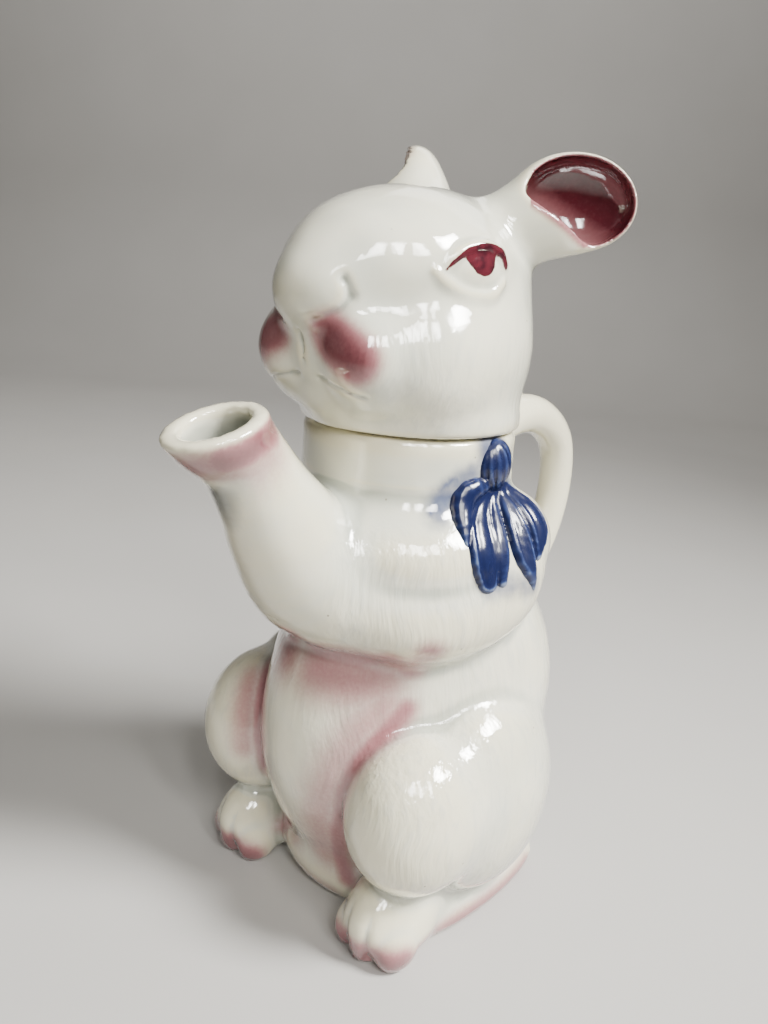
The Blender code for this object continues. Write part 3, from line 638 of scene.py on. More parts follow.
def cream_glaze(name, painted_eye=False):
    """Clear glaze over a cream body, with rose sprayed under it; painted shade greys its hollows and painted
    light warms its ridges.
    """
    glaze = Finish(name)
    cloud = glaze.noise(38, 3)
    wide = glaze.noise(14, 2)
    hollow = glaze.kept("hollow")
    tone = glaze.mix(glaze.range(cloud, 0.35, 0.7), (*CREAM, 1), (*CREAM_DULL, 1))
    # Painted shade: the cream turns a darker grey in the hollows of the skin.
    tone = glaze.mix(glaze.range(hollow, 0.02, 0.30), tone, (*CREAM_PAINTED_SHADE, 1))
    # Painted light: the ridges turn a warmer cream.
    tone = glaze.mix(glaze.range(hollow, -0.04, -0.22, 0.0, 0.75), tone, (*WARM_CREAM_AND_RIDGE_LIGHT, 1))
    # Warm cream also in random wide patches over the glaze.
    tone = glaze.mix(glaze.range(wide, 0.45, 0.75, 0.0, 0.35), tone, (*WARM_CREAM_AND_RIDGE_LIGHT, 1))
    fur = glaze.kept("fur_share")
    swirl = glaze.node("TexNoise", {"Vector": glaze.place, "Scale": 26.0, "Detail": 1.0}).outputs["Color"]
    bend = {0: swirl, 1: (0.016, 0.016, 0.0), 2: glaze.place}
    bent = glaze.node("VectorMath", bend, operation="MULTIPLY_ADD")
    comb = glaze.node("VectorMath", {0: bent.outputs[0], 1: (480, 480, 75)}, operation="MULTIPLY").outputs[0]
    strokes = glaze.noise(1.0, 2, comb, 0.5)
    stroke_tone = glaze.sum("MULTIPLY", glaze.range(strokes, 0.52, 0.66), glaze.sum("MULTIPLY", fur, 0.22))
    tone = glaze.mix(stroke_tone, tone, (*FUR_GREY, 1))
    spots = glaze.node("TexVoronoi", {"Vector": glaze.place, "Scale": 210.0}, feature="F1")
    pick = glaze.node("SeparateColor", {0: spots.outputs["Color"]})
    dot = glaze.range(spots.outputs["Distance"], 0.10, 0.03)
    speck = glaze.sum("MULTIPLY", dot, glaze.range(pick.outputs[0], 0.955, 0.96))
    tone = glaze.mix(glaze.sum("MULTIPLY", speck, 0.7), tone, (*SPECK_BROWN, 1))
    # Painted shade: the spout's channel is darkened to grey-green.
    tone = glaze.mix(glaze.kept("channel"), tone, (*CHANNEL_SHADE, 1))
    grain = glaze.stir(glaze.noise(900, 2), 0.10)
    rose = glaze.sum("ADD", glaze.kept("rose"), grain)
    sprayed = glaze.ramp(rose, (0.0, ROSE), (0.55, tuple(0.72 * a for a in ROSE)), (1.0, MAROON))
    tone = glaze.mix(glaze.range(rose, 0.02, 0.62), tone, sprayed)
    ragged = glaze.sum("ADD", glaze.kept("blue"), glaze.stir(glaze.noise(260, 3), 0.35))
    tone = glaze.mix(glaze.sum("MULTIPLY", glaze.range(ragged, 0.12, 1.0), 0.9), tone, (*COBALT, 1))
    if painted_eye:
        line = glaze.sum("ADD", glaze.kept("eye_paint"), glaze.stir(glaze.noise(420, 2), 0.0005))
        dark = glaze.mix(glaze.range(glaze.noise(300, 2), 0.4, 0.7), (*MAROON, 1), (*EYE_DARK, 1))
        tone = glaze.mix(glaze.range(line, 0.00018, -0.00012), tone, dark)
    glaze.join("Base Color", tone)
    glaze.join("Roughness", glaze.range(glaze.noise(120, 3), 0.3, 0.7, 0.07, 0.13))
    glaze.join("Coat Weight", 1.0)
    glaze.join("Coat Roughness", GLAZE_SHINE)
    glaze.join("Coat IOR", GLAZE_INDEX)
    glaze.join("IOR", GLAZE_INDEX)
    fur_bump = glaze.bump(glaze.sum("MULTIPLY", strokes, fur), 0.00035)
    waves = glaze.bump(glaze.noise(70, 1), 0.0006, fur_bump)
    glaze.join("Normal", waves)
    glaze.join("Coat Normal", glaze.bump(glaze.noise(95, 2), 0.00055))
    return glaze.paint


def furred(spots):
    """Where fur is engraved: on the belly, back and haunches, fading out at the neck and the feet."""
    x, y, z = (spots / MM).T
    share = np.clip((z - 16) / 10, 0, 1) * np.clip((140 - z) / 8, 0, 1) * np.clip((58 - y) / 8, 0, 1)
    return share * np.clip((y + 52) / 8, 0, 1)


def blush(spots, strokes):
    """Rose sprayed along strokes: (path, full width, faded width, strength)."""
    total = np.zeros(len(spots))
    for path, full, gone, strength in strokes:
        total = np.maximum(total, strength * faded(from_stroke(spots, path), full, gone))
    return total


def round_mouth(spots):
    """How far spots lie below the spout's lip, and from the middle of its channel, in millimetres."""
    below = (np.array(SPOUT_MOUTH) - spots) @ np.array(SPOUT_UP) / MM
    axis = [SPOUT_MOUTH / MM + Vector((0, out, up)) for out, up in ((-5, 8), (0, 0), (8, -13), (16, -27))]
    return below, from_stroke(spots, axis) / MM


def outside_mouth(spots):
    """1 on the outside of the spout, 0 on its lip and in its channel."""
    below, apart = round_mouth(spots)
    return np.clip((below - 0.3) / 1.8, 0, 1) * np.clip((apart - 10.2) / 1.2, 0, 1)


def shaded_channel(spots):
    """Painted shade in the spout's channel, a darker grey-green: 0 at the lip, 1 from 10 mm down."""
    below, apart = round_mouth(spots)
    return np.clip((below - 0.8) / 9.0, 0, 1) * np.clip((10.4 - apart) / 0.8, 0, 1)


# Strokes of the spray gun and the brush on the rabbit's left, in millimetres.
CREASE = [(30.4, -25.2, 80.4), (27.3, -30.8, 73.2), (23.2, -37, 63.3), (20.7, -38.7, 51.8),
          (16.8, -37.2, 35.8), (13.8, -32.9, 22.3), (16.5, -30.7, 13.8)]
BESIDE_CREASE = [(26.5, -30.0, 81.0), (22.0, -36.0, 73.0), (18.2, -40.5, 62.0), (15.2, -42.0, 51.0),
                 (12.0, -40.0, 36.0), (9.5, -35.0, 22.0)]
UNDER_ARM = [(3.3, -49.1, 102.6), (6.6, -38.6, 95.6), (17, -33.8, 95.6), (27.9, -31.4, 97.9),
             (29, -23.5, 94.2), (38.2, -26, 101.9)]
BELOW_ARM = [(8.0, -42.0, 90.0), (18.0, -38.0, 89.0), (27.0, -33.0, 90.0)]
BELOW_LIP = [(-4.0, -84.0, 156.0), (6.3, -83.0, 157.2), (11.3, -79.1, 159.3), (13.1, -74.6, 160.9),
             (13.0, -69.3, 164.2), (10.7, -64.4, 165.9)]
BELOW_LIP_WIDE = [(4.6, -80.3, 153.4), (9.5, -76.5, 154.5), (12.6, -71.5, 158.0), (12.0, -66.5, 161.5)]
TOES = [(24, -41, 3), (29, -44, 4), (36, -45, 4), (43, -42.5, 4), (47, -37, 4)]
SOLE = [(47, -30, 3), (47.5, -9, 3), (48, 3, 3), (48, 15, 3), (45, 31, 3)]
FAR_HAUNCH = [(-31, -37, 72), (-27.5, -41.5, 60), (-25.5, -42.5, 48)]
BELLY_FOOT = [(-10, -33, 4), (0, -34, 4), (10, -33, 4)]
BLUE_WASH = [(32, -8, 151), (29.5, -16.5, 145), (29, -18.5, 137)]
BLUE_LOOP = [(31.0, -13.0, 151.0), (29.6, -19.0, 147.0), (28.6, -21.0, 138.0)]
BLUE_KNOT = [(32.8, 0.4, 158), (33.4, 3, 152), (34.3, 6.5, 146), (36, 7, 138)]
BLUE_TIPS = [(36.0, -12.0, 130), (44.0, -9.0, 121), (49.0, 5.0, 120)]

pot_mesh = pot.mesh(POT_GRAIN, cream_glaze("pot_glaze"))
pot_spots = points_of(pot_mesh)
strokes = []
for path, full, gone, strength in (
    (CREASE, 0.0, 8.5, 0.60), (BESIDE_CREASE, 0.0, 17.0, 0.44), (UNDER_ARM, 0.0, 10.0, 0.58),
    (BELOW_ARM, 0.0, 21.0, 0.50), (TOES, 1.5, 11.0, 0.78), (SOLE, 0.5, 9.0, 0.62),
):
    strokes.append((path, full, gone, strength))
    strokes.append((mirrored(path), full, gone, strength))
strokes.append((BELLY_FOOT, 1.0, 8.0, 0.36))
strokes.append((FAR_HAUNCH, 0.0, 11.0, 0.46))
lip_strokes = [(BELOW_LIP, 0.0, 11.5, 0.56), (BELOW_LIP[2:], 0.0, 10.0, 0.76),
               (BELOW_LIP_WIDE, 0.0, 19.0, 0.40)]
rose = np.maximum(blush(pot_spots, strokes), blush(pot_spots, lip_strokes) * outside_mouth(pot_spots))
keep_paint(pot_mesh, "rose", rose)
washes = [(BLUE_WASH, 1.0, 9.0, 0.80), (BLUE_LOOP, 0.2, 2.8, 0.90), (BLUE_KNOT, 4.5, 11.0, 0.80),
          (BLUE_TIPS, 1.0, 9.0, 0.70)]
keep_paint(pot_mesh, "blue", blush(pot_spots, washes))
keep_paint(pot_mesh, "hollow", hollows(pot_mesh, 14))
# Painted shade inside the spout's channel.
keep_paint(pot_mesh, "channel", shaded_channel(pot_spots))
keep_paint(pot_mesh, "fur_share", furred(pot_spots))
pot_skin = bpy.data.objects.new("pot_skin", pot_mesh)
bpy.context.scene.collection.objects.link(pot_skin)
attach(pot_skin, "pot")
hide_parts("pot_body", "left_haunch", "right_haunch", "left_hind_foot", "right_hind_foot",
            "foreleg_spout", "handle")

# The bow
# A ribbon bow on the left of the neck, pressed from clay and luted on: a ribbed knot over a fan of leaves.
# It is painted in cobalt under the glaze, which pools dark in the folds and runs thin on the ridges.

# Each leaf's middle line over the skin (across the neck and up, in millimetres), its half widths, and
# how far it stands out.
BOW_LEAVES = {
    "back_loop": (((6.4, 147.5), (10.0, 142.0), (11.2, 135.0), (9.0, 128.2)), (2.2, 4.2, 4.6, 2.0), 1.5),
    "tail": (((5.2, 147.0), (3.8, 137.0), (3.6, 128.0), (5.8, 118.8)), (2.2, 3.8, 4.0, 0.9), 1.7),
    "front_leaf": (((0.0, 146.5), (-8.0, 137.5), (-10.4, 129.5), (-10.2, 122.6)), (2.0, 5.0, 5.6, 3.6), 1.2),
    "middle_leaf": (((2.0, 146.0), (-2.8, 135.5), (-4.8, 128.0), (-5.8, 122.4)), (1.8, 3.1, 3.2, 1.9), 1.9),
    "curl": (((-1.5, 148.5), (-8.6, 146.4), (-12.4, 140.2), (-15.2, 133.8)), (2.0, 4.2, 3.6, 0.9), 2.6),
}
KNOT_MIDDLE = Vector((33.0, 1.8, 153.6)) * MM
KNOT_HALF = Vector((4.9, 6.6, 8.2)) * MM
BOW_GRAIN = 0.0004

bow = Clay("bow_relief")
throw_body(bow)
add_collar(bow)
bow.fuse(lambda: add_forelegs(bow), FORELEG_FILLET)
skin_field = bow.field
bow_tree = BVHTree.FromPolygons([v.co for v in pot_mesh.vertices], [p.vertices for p in pot_mesh.polygons])


def on_skin(across, height):
    """The spot on the pot's left side at a distance along Y and a height, both in millimetres."""
    return bow_tree.ray_cast(Vector((0.12, across * MM, height * MM)), Vector((-1, 0, 0)))[0]


bow.low = None
bow.high = None
relief = None
for places, widths, stand in BOW_LEAVES.values():
    knots = [(Vector((across, height, 0)), width) for (across, height), width in zip(places, widths)]
    path = [(on_skin(spot.x, spot.y), width * MM) for spot, width in smooth_path(knots, 3)]
    inward, share = bow.leaf(path)
    rise = bow.number("MINIMUM", bow.number("DIVIDE", inward, 1.5 * MM), 1.0)
    dome = bow.number("MULTIPLY", rise, bow.number("SUBTRACT", 2.0, rise))
    rib = bow.number("COSINE", bow.number("MULTIPLY", share, 4 * math.pi))
    rib = bow.number("MULTIPLY", bow.number("MULTIPLY", rib, -0.20 * MM), rise)
    height = bow.number("ADD", bow.number("MULTIPLY", dome, (stand + 0.3) * MM), rib)
    relief = height if relief is None else bow.number("MAXIMUM", relief, height)
raised = bow.number("ADD", bow.number("SUBTRACT", skin_field, relief), 0.3 * MM)
near_leaf = bow.number("SUBTRACT", 0.02 * MM, relief)
bow.field = bow.number("MAXIMUM", raised, near_leaf)
bow.hollow(bow.number("ADD", skin_field, 1.5 * MM), 0)
bow.lump(KNOT_MIDDLE, KNOT_HALF, (-8, 0, 0), 0.0006)
for turn in (-62, -36, -8, 18, 48):
    side = math.radians(turn)
    rim = Vector((math.cos(side) * KNOT_HALF.x, math.sin(side) * KNOT_HALF.y, 0))
    groove = [
        (KNOT_MIDDLE + rim * 0.60 + Vector((0, -1.2 * MM, 6.9 * MM)), 0.00015),
        (KNOT_MIDDLE + rim * 1.03, 0.00035),
        (KNOT_MIDDLE + rim * 0.66 + Vector((0, 1.2 * MM, -6.6 * MM)), 0.00015),
    ]
    bow.carve(lambda: bow.limb(smooth_path(groove, 3)), 0.0010)


def cobalt_glaze():
    """Cobalt under clear glaze: dark where it pools, thin and milky on the ridges."""
    glaze = Finish("cobalt_glaze")
    pooled = glaze.kept("hollow")
    drawn = glaze.node("VectorMath", {0: glaze.place, 1: (1, 1, 0.55)}, operation="MULTIPLY").outputs[0]
    brush = glaze.stir(glaze.noise(520, 3, drawn), 0.12)
    wide = glaze.stir(glaze.noise(150, 2), 0.16)
    depth = glaze.sum("ADD", pooled, glaze.sum("ADD", brush, wide))
    share = glaze.range(depth, -0.34, -0.05)
    tone = glaze.ramp(
        share,
        (0.0, (0.110, 0.140, 0.220)),
        (0.25, (0.036, 0.055, 0.130)),
        (0.50, (0.017, 0.026, 0.080)),
        (1.0, (0.006, 0.009, 0.036)),
    )
    glaze.join("Base Color", tone)
    glaze.join("Roughness", glaze.range(glaze.noise(120, 3), 0.3, 0.7, 0.20, 0.32))
    glaze.join("IOR", GLAZE_INDEX)
    glaze.join("Specular IOR Level", 0.3)
    glaze.join("Coat Weight", 0.45)
    glaze.join("Coat Roughness", 2 * GLAZE_SHINE)
    glaze.join("Coat IOR", GLAZE_INDEX)
    glaze.join("Normal", glaze.bump(glaze.noise(160, 2), 0.0003))
    glaze.join("Coat Normal", glaze.bump(glaze.noise(110, 2), 0.0004))
    return glaze.paint


bow_mesh = bow.mesh(BOW_GRAIN, cobalt_glaze(), settling=0.3)
bow_mesh.vertices.foreach_set("co", softened(bow_mesh, 3).ravel())
bow_mesh.update()
keep_paint(bow_mesh, "hollow", hollows(bow_mesh, 12) * 2)
bow_relief = bpy.data.objects.new("bow_relief", bow_mesh)
bpy.context.scene.collection.objects.link(bow_relief)
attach(bow_relief, "pot")
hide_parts("bow_knot", "bow_front_leaf", "bow_tail", "bow_middle_leaf", "bow_curl",
            "bow_back_loop")

# The head
# The lid is a hollow rabbit's head with its ears, cast in white earthenware under the same cream glaze.
# Lids, iris and cheeks are brushed and sprayed in maroon under the glaze, and so are the cups of the ears.

HEAD_BASE = POT_HEIGHT + 0.0003
HEAD_BOX = Vector((0.037, 0.051, 0.070))
HEAD_WALL = 0.0045
FLANGE_RADIUS = NECK_BORE_RADIUS - 0.0010
FLANGE_GRIP = 0.006
EAR_HALF = Vector((0.0355, 0.020, 0.0277)) / 2
EAR_RIM = 0.0013
EAR_FILLET = 0.0060
HEAD_GRAIN = 0.0008

# Swellings of the head above the rim, in shares of its half width, reach and height.
HEAD_MIDDLE_SHARES = (
    ((0, 0, 0.340), (0.97, 0.706, 0.570), (0, 0), 0.4),
    ((0, 0, 0.625), (0.84, 0.706, 0.357), (0, 0), 0.8),
    ((0, -0.235, 0.653), (0.84, 0.627, 0.314), (0, 0), 0.8),
    ((0, -0.530, 0.603), (0.51, 0.510, 0.229), (12, 0), 1.2),
    ((0, -0.820, 0.524), (0.30, 0.180, 0.129), (0, 0), 0.8),
    ((0, -0.590, 0.139), (0.35, 0.216, 0.129), (0, 0), 0.8),
)
HEAD_SIDE_SHARES = (
    ((0.380, -0.700, 0.310), (0.335, 0.220, 0.180), (0, 0), 1.2),
    ((0.540, -0.275, 0.310), (0.460, 0.430, 0.286), (0, 0), 1.0),
    ((0.676, -0.118, 0.696), (0.190, 0.176, 0.100), (0, 0), 0.8),
)
HEAD_NECK_SHARES = (0.03, 1.02, 0.20)  # height of its middle, its radius and its half height

# Ears: where each sits on the head, how it turns and leans, and where its root lies.
EAR_PLACE_SHARES = (0.89, 0.57, 0.967)
EAR_ROOT_SHARES = ((0.43, 0.27, 0.80), (0.72, 0.44, 0.91))
EAR_TURN = 42
EAR_LEAN = 3
EAR_FOLD = math.radians(243)  # where the lower lip stands up, turned from the ear's own axis
RIGHT_EAR_LIFT = 0.0044

# Lines of the face on the left side, in millimetres. The painted lid line and iris are given as seen from
# the side, as (y, z).
UPPER_LID = ((29.1, -22.6, 209.4), (29.7, -20.0, 212.3), (30.3, -16.2, 214.2), (31.2, -11.9, 215.2),
             (31.9, -8.0, 214.8), (32.6, -5.4, 213.5), (33.1, -3.2, 210.6))
LOWER_LID = ((27.9, -26.0, 207.8), (29.0, -22.7, 205.2), (30.5, -18.2, 203.0), (32.0, -12.8, 202.0),
             (32.8, -7.6, 202.6), (33.2, -3.6, 205.8))
LID_LINE = ((-24.6, 206.9), (-22.6, 210.3), (-19.5, 213.2), (-16.8, 214.5), (-14.3, 215.4), (-11.7, 215.9),
            (-8.4, 215.8), (-5.4, 214.8), (-3.1, 212.7), (-1.9, 209.8), (-2.9, 209.2), (-4.3, 210.2),
            (-5.6, 212.1), (-7.7, 213.2), (-9.3, 213.8), (-12.1, 214.2), (-14.0, 213.9), (-16.7, 213.0),
            (-20.5, 210.4))
IRIS_LINE = ((-18.2, 213.6), (-17.9, 211.6), (-16.6, 209.6), (-14.6, 208.0), (-12.0, 207.2), (-9.6, 207.8),
             (-8.0, 209.9), (-7.4, 214.0))
NOSTRIL = ((13.6, -45.0, 204.2), (14.7, -44.5, 202.6), (15.2, -43.9, 200.4))
SNOUT_FOLD = ((7.0, -48.2, 192.9), (10.0, -47.6, 193.9), (13.4, -45.4, 196.4), (15.3, -43.8, 199.4))
SMILE = ((2.5, -42.9, 178.2), (6.8, -43.5, 177.5), (13.7, -44.2, 175.8), (19.9, -40.4, 174.2))
LIP_SPLIT = ((0, -47.2, 191.0), (0, -45.8, 186.0), (0, -44.4, 181.5))
CHEEK = ((11.4, -46.8, 188.8), (16.0, -46.4, 186.6), (19.6, -45.2, 184.2))

head = Clay("head_skin")


def in_metres(path, radius):
    return [(Vector(place) * MM, radius * MM) for place in path]


def ridge(path, radius, soft):
    """A low roll of clay along a path in millimetres, thin at both ends."""
    knots = in_metres(path, radius)
    knots[0] = (knots[0][0], 0.5 * knots[0][1])
    knots[-1] = (knots[-1][0], 0.5 * knots[-1][1])
    head.limb(smooth_path(knots, 3), soft=soft, pair=True)


def ear_place(side):
    """Where an ear sits, how it is turned, and the axes of the left ear."""
    lift = RIGHT_EAR_LIFT if side < 0 else 0
    place = in_box(EAR_PLACE_SHARES, HEAD_BOX) + Vector((0, 0, HEAD_BASE + lift))
    place.x *= side
    spin = Euler([math.radians(angle) for angle in (0, EAR_LEAN, EAR_TURN)]).to_matrix()
    return place, (0, side * EAR_LEAN, side * EAR_TURN), spin


def add_ear(side):
    """A cupped ear on a short root, open in front, with its lower lip folded up."""
    place, turn, spin = ear_place(side)
    flip = Vector((side, 1, 1))
    front = (spin @ Vector((0, -1, 0))) * flip
    fold = (spin @ Vector((math.cos(EAR_FOLD), 0, math.sin(EAR_FOLD)))) * flip
    base = Vector((0, 0, HEAD_BASE))
    stout = 0.88 if side > 0 else 1.02
    roots = [((base + in_box(spot, HEAD_BOX)) * flip, stout * EAR_HALF.z) for spot in EAR_ROOT_SHARES]
    head.lump(place, EAR_HALF, turn)
    head.trim(place + front * (0.35 if side > 0 else 0.60) * EAR_HALF.y, front, 0.0022)
    head.limb(roots, soft=SOFTNESS)

    def cut_cup():
        cup = EAR_HALF - Vector((1, 1, 1)) * EAR_RIM
        head.lump(place, cup, turn, 0, open_front=True)
        head.trim(place + fold * 0.57 * EAR_HALF.z, fold, 0.0030)

    head.carve(cut_cup, 0.0016)


base = Vector((0, 0, HEAD_BASE))
head.swellings(HEAD_MIDDLE_SHARES, HEAD_BOX, base)
head.swellings(HEAD_SIDE_SHARES, HEAD_BOX, base, pair=True)
head.lump(Vector((0, -38.0, 186.5)) * MM, Vector((7.5, 8.2, 12.5)) * MM, soft=0.0070)
head.lump(Vector((14.0, -33.0, 175.0)) * MM, Vector((9.0, 7.0, 7.0)) * MM, soft=0.0050, pair=True)
height, spread, half_height = HEAD_NECK_SHARES
radius = spread * NECK_RADIUS
head.lump((0, 0, HEAD_BASE + height * HEAD_BOX.z), (radius, radius, half_height * HEAD_BOX.z))
head_field = head.field
head.carve(lambda: head.limb(in_metres(SMILE, 0.08), pair=True), 0.0022)
head.carve(lambda: head.limb(in_metres(LIP_SPLIT, 0.10)), 0.0028)
head.carve(lambda: head.limb(in_metres(SNOUT_FOLD, 0.10), pair=True), 0.0036)
head.carve(lambda: head.limb(in_metres(NOSTRIL, 0.3), pair=True), 0.0034)
head.lump(Vector((26.6, -12.3, 208.6)) * MM, Vector((6.6, 10.8, 7.2)) * MM, (0, 0, -11), 0.0012, pair=True)
head.fuse(lambda: ridge(UPPER_LID, 1.5, 0.001), 0.0022)
head.fuse(lambda: ridge(LOWER_LID, 1.4, 0.001), 0.0028)
head.fuse(lambda: add_ear(1), EAR_FILLET)
head.fuse(lambda: add_ear(-1), EAR_FILLET)
head.trim((0, 0, HEAD_BASE), (0, 0, -1), 0.0024)
head.hollow(head.number("ADD", head_field, HEAD_WALL), 0)
socket_top = HEAD_BASE + FLANGE_GRIP + 0.004
head.carve(lambda: head.drum(FLANGE_RADIUS + 0.0003, HEAD_BASE - 0.02, socket_top, 0), 0.0010)

head_mesh = head.mesh(HEAD_GRAIN, cream_glaze("head_glaze", painted_eye=True))
head_spots = points_of(head_mesh)


def outline_distance(places, line):
    """Distance of flat points from a closed outline, below zero inside, in metres."""
    line = np.asarray(line) * MM
    nearest = np.full(len(places), 1.0)
    inside = np.zeros(len(places), bool)
    for first, last in zip(line, np.roll(line, -1, axis=0)):
        run = last - first
        offset = places - first
        along = np.clip(offset @ run / (run @ run), 0, 1)
        nearest = np.minimum(nearest, np.linalg.norm(offset - along[:, None] * run, axis=1))
        crosses = (first[1] > places[:, 1]) != (last[1] > places[:, 1])
        level = np.where(crosses, (places[:, 1] - first[1]) / (run[1] or 1.0), 0)
        inside ^= crosses & (offset[:, 0] < level * run[0])
    return np.where(inside, -nearest, nearest)


def eye_paint():
    """Distance from the maroon of either eye: the upper lid's line and the iris under it."""
    from_side = head_spots[:, 1:]
    paint = np.minimum(outline_distance(from_side, LID_LINE), outline_distance(from_side, IRIS_LINE))
    return np.where(np.abs(head_spots[:, 0]) > 0.022, paint, 0.02)


def ear_paint():
    """Maroon in the cups of the ears: darkest at the top, rose towards the folded lip, pale at the rim."""
    total = np.zeros(len(head_spots))
    for side in (1, -1):
        place, _, spin = ear_place(side)
        offset = (head_spots - place) * (side, 1, 1)
        local = offset @ np.array(spin)
        cup = np.array(EAR_HALF) - EAR_RIM
        shares = local / cup
        shares[:, 1] = np.maximum(shares[:, 1], 0)
        near = np.linalg.norm(shares, axis=1)
        fold = local @ (math.cos(EAR_FOLD), 0, math.sin(EAR_FOLD)) / EAR_HALF.z
        edge = 0.035 if side > 0 else 0.12
        inside = np.clip((1.05 - near) / edge, 0, 1) * np.clip((0.80 - fold) / 0.16, 0, 1)
        rim = np.clip((1.16 - near) / 0.12, 0, 1) * np.clip((0.80 - fold) / 0.3, 0, 1)
        rim = rim * (local[:, 1] < -0.1 * EAR_HALF.y)
        depth = 1.0 - 0.42 * np.clip((fold + 0.05) / 0.55, 0, 1)
        outer = local[:, 0] > -0.9 * cup[0]
        total = np.maximum(total, np.maximum(inside * depth, (0.20 if side > 0 else 0.30) * rim) * outer)
    return total


keep_paint(head_mesh, "eye_paint", eye_paint())
sprays = []
for path, strength in ((CHEEK, 1.0), (mirrored(CHEEK), 0.8)):
    sprays.append((path, 1.5, 11.5, 0.86 * strength))
    sprays.append((path, 0.0, 16.0, 0.24))
keep_paint(head_mesh, "rose", np.maximum(blush(head_spots, sprays), ear_paint()))
keep_paint(head_mesh, "blue", np.zeros(len(head_spots)))
keep_paint(head_mesh, "channel", np.zeros(len(head_spots)))
keep_paint(head_mesh, "hollow", hollows(head_mesh, 14))
low = np.clip((196 - head_spots[:, 2] / MM) / 10, 0, 1)
jaw = low * np.clip((np.abs(head_spots[:, 0]) / MM - 14) / 8, 0, 1)
keep_paint(head_mesh, "fur_share", 0.8 * jaw)
head_skin = bpy.data.objects.new("head_skin", head_mesh)
bpy.context.scene.collection.objects.link(head_skin)
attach(head_skin, "lid")
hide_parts("lid_head", "left_ear", "right_ear")

# The lid's ring
# The plain ring under the head that drops into the neck and keeps the lid from sliding off. It is turned from
# the same clay and luted inside the head, and it is left without glaze so that it doesn't stick in the kiln.


def bare_clay():
    """Fired clay without glaze: matt, warm, cloudy and finely gritty, with marks of the turning."""
    clay = Finish("bare_clay")
    cloud = clay.noise(90, 3)
    tone = clay.mix(clay.range(cloud, 0.3, 0.7), (0.560, 0.470, 0.350, 1), (0.640, 0.560, 0.440, 1))
    grit = clay.noise(1500, 2)
    tone = clay.mix(clay.range(grit, 0.62, 0.72, 0.0, 0.5), tone, (0.300, 0.230, 0.160, 1))
    turning = clay.node("VectorMath", {0: clay.place, 1: (20, 20, 2600)}, operation="MULTIPLY").outputs[0]
    clay.join("Base Color", tone)
    clay.join("Roughness", clay.range(cloud, 0.3, 0.7, 0.72, 0.86))
    grooves = clay.bump(clay.noise(1.0, 2, turning), 0.00012)
    clay.join("Normal", clay.bump(grit, 0.00010, grooves))
    return clay.paint


ring = bpy.data.objects["lid_flange"]
ring_clay = bare_clay()
for slot in ring.material_slots:
    slot.material = ring_clay

# Table and light
# A plain pale sweep to stand the teapot on. A window's panes and the sky light it from the rabbit's left,
# with a faint light from the room, one from behind and one on the sweep. The camera stands where the
# photograph was taken from, a little above the pot and to its left.

EYE = Vector((0.17585, -0.19714, 0.20727))
LOOK = Vector((-0.65536, 0.70183, -0.27919))
ROLL = math.radians(4.242)
LENS = 29.29


def sweep():
    """A floor that curves up behind the teapot."""
    mesh = bpy.data.meshes.new("table")
    shape = bmesh.new()
    away = Vector((LOOK.x, LOOK.y, 0)).normalized()
    side = Vector((-away.y, away.x, 0))
    reach, rise, bend = 1.1, 1.6, 0.35
    line = [away * -1.6, away * reach]
    for step in range(1, 13):
        angle = math.pi / 2 * step / 12
        line.append(away * (reach + bend * math.sin(angle)) + Vector((0, 0, bend * (1 - math.cos(angle)))))
    line.append(away * (reach + bend) + Vector((0, 0, rise)))
    rows = [[shape.verts.new(point + side * across) for across in (-2.4, 2.4)] for point in line]
    for near, far in zip(rows, rows[1:]):
        shape.faces.new((near[1], near[0], far[0], far[1]))
    shape.to_mesh(mesh)
    shape.free()
    mesh.shade_smooth()
    table = bpy.data.objects.new("table", mesh)
    bpy.context.scene.collection.objects.link(table)
    return table


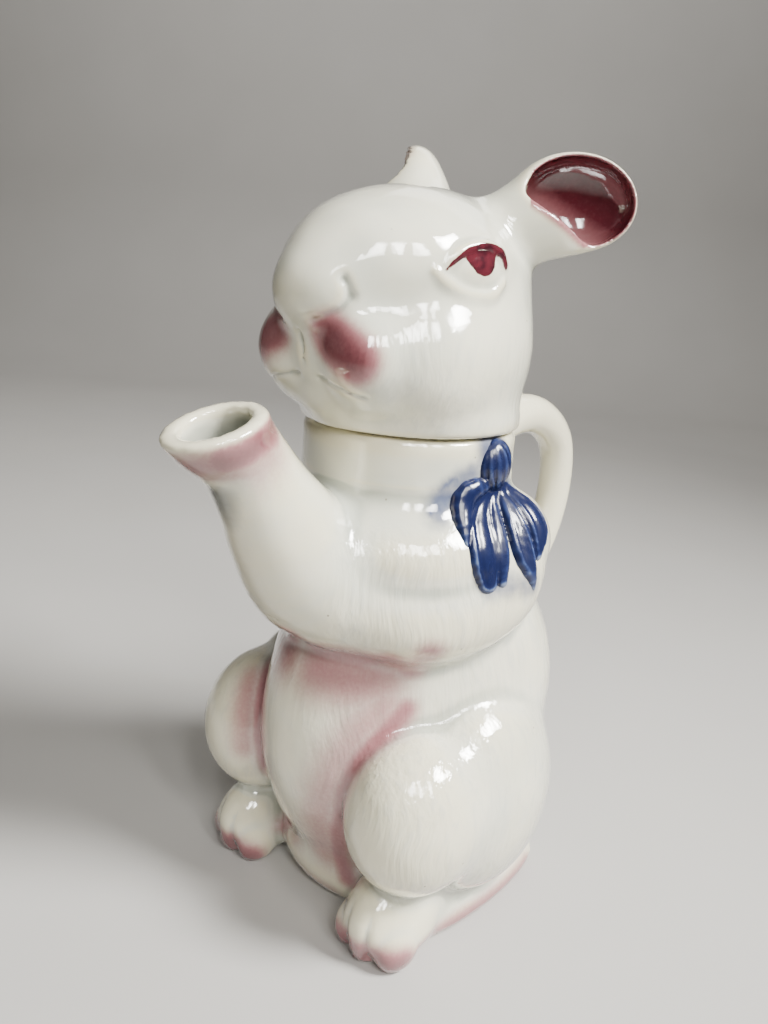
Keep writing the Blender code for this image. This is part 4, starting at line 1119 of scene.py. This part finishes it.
def table_paint():
    paint = bpy.data.materials.new("table_paint")
    paint.use_nodes = True
    nodes, links = paint.node_tree.nodes, paint.node_tree.links
    shader = nodes["Principled BSDF"]
    place = nodes.new("ShaderNodeTexCoord")
    grain = nodes.new("ShaderNodeTexNoise")
    grain.inputs["Scale"].default_value = 9
    ramp = nodes.new("ShaderNodeValToRGB")
    ramp.color_ramp.elements[0].color = (0.365, 0.352, 0.332, 1)
    ramp.color_ramp.elements[1].color = (0.395, 0.382, 0.362, 1)
    links.new(place.outputs["Object"], grain.inputs["Vector"])
    links.new(grain.outputs["Fac"], ramp.inputs["Fac"])
    links.new(ramp.outputs["Color"], shader.inputs["Base Color"])
    shader.inputs["Roughness"].default_value = 0.65
    return paint


def lamp(name, place, aim, size, power, tint=(1, 1, 1), spread=180):
    """A rectangular soft light that points at a place. Its beam is spread degrees wide."""
    light = bpy.data.lights.new(name, "AREA")
    light.shape = "RECTANGLE"
    light.size, light.size_y = size
    light.energy = power
    light.color = tint
    light.spread = math.radians(spread)
    thing = bpy.data.objects.new(name, light)
    thing.location = place
    thing.rotation_euler = (Vector(aim) - Vector(place)).to_track_quat("-Z", "Y").to_euler()
    bpy.context.scene.collection.objects.link(thing)


table = sweep()
table.data.materials.append(table_paint())

middle = (0, 0, 0.12)
for pane in (-1, 0, 1):
    place = (0.82 + 0.16 * pane, -0.46 + 0.22 * pane, 0.95)
    lamp("window_pane", place, middle, (0.13, 0.44), 1.4, (1, 0.99, 0.965), 80)
lamp("sky_light", (0.88, 0.36, 1.08), middle, (0.42, 0.42), 8.5, (1, 0.995, 0.975), 60)
lamp("room_light", (-0.75, -1.0, 0.55), middle, (0.8, 0.8), 0.2, (1, 0.95, 0.88))
lamp("back_light", (-0.35, 0.9, 1.1), middle, (0.9, 0.5), 2.5, (1, 0.98, 0.94))
lamp("sweep_light", (-0.25, 0.27, 1.45), (-0.95, 1.02, 0.62), (1.6, 0.5), 11.0, (1, 0.99, 0.97), 120)
world = bpy.data.worlds.new("soft_room")
world.use_nodes = True
world.node_tree.nodes["Background"].inputs["Color"].default_value = (0.90, 0.89, 0.87, 1)
world.node_tree.nodes["Background"].inputs["Strength"].default_value = 0.06
bpy.context.scene.world = world

view = bpy.data.cameras.new("photo_view")
view.sensor_width = 36
view.sensor_fit = "AUTO"
view.lens = LENS
view.clip_start = 0.01
camera = bpy.data.objects.new("photo_view", view)
turn = LOOK.to_track_quat("-Z", "Y").to_matrix() @ Euler((0, 0, ROLL)).to_matrix()
camera.matrix_world = turn.to_4x4()
camera.location = EYE
bpy.context.scene.collection.objects.link(camera)
bpy.context.scene.camera = camera
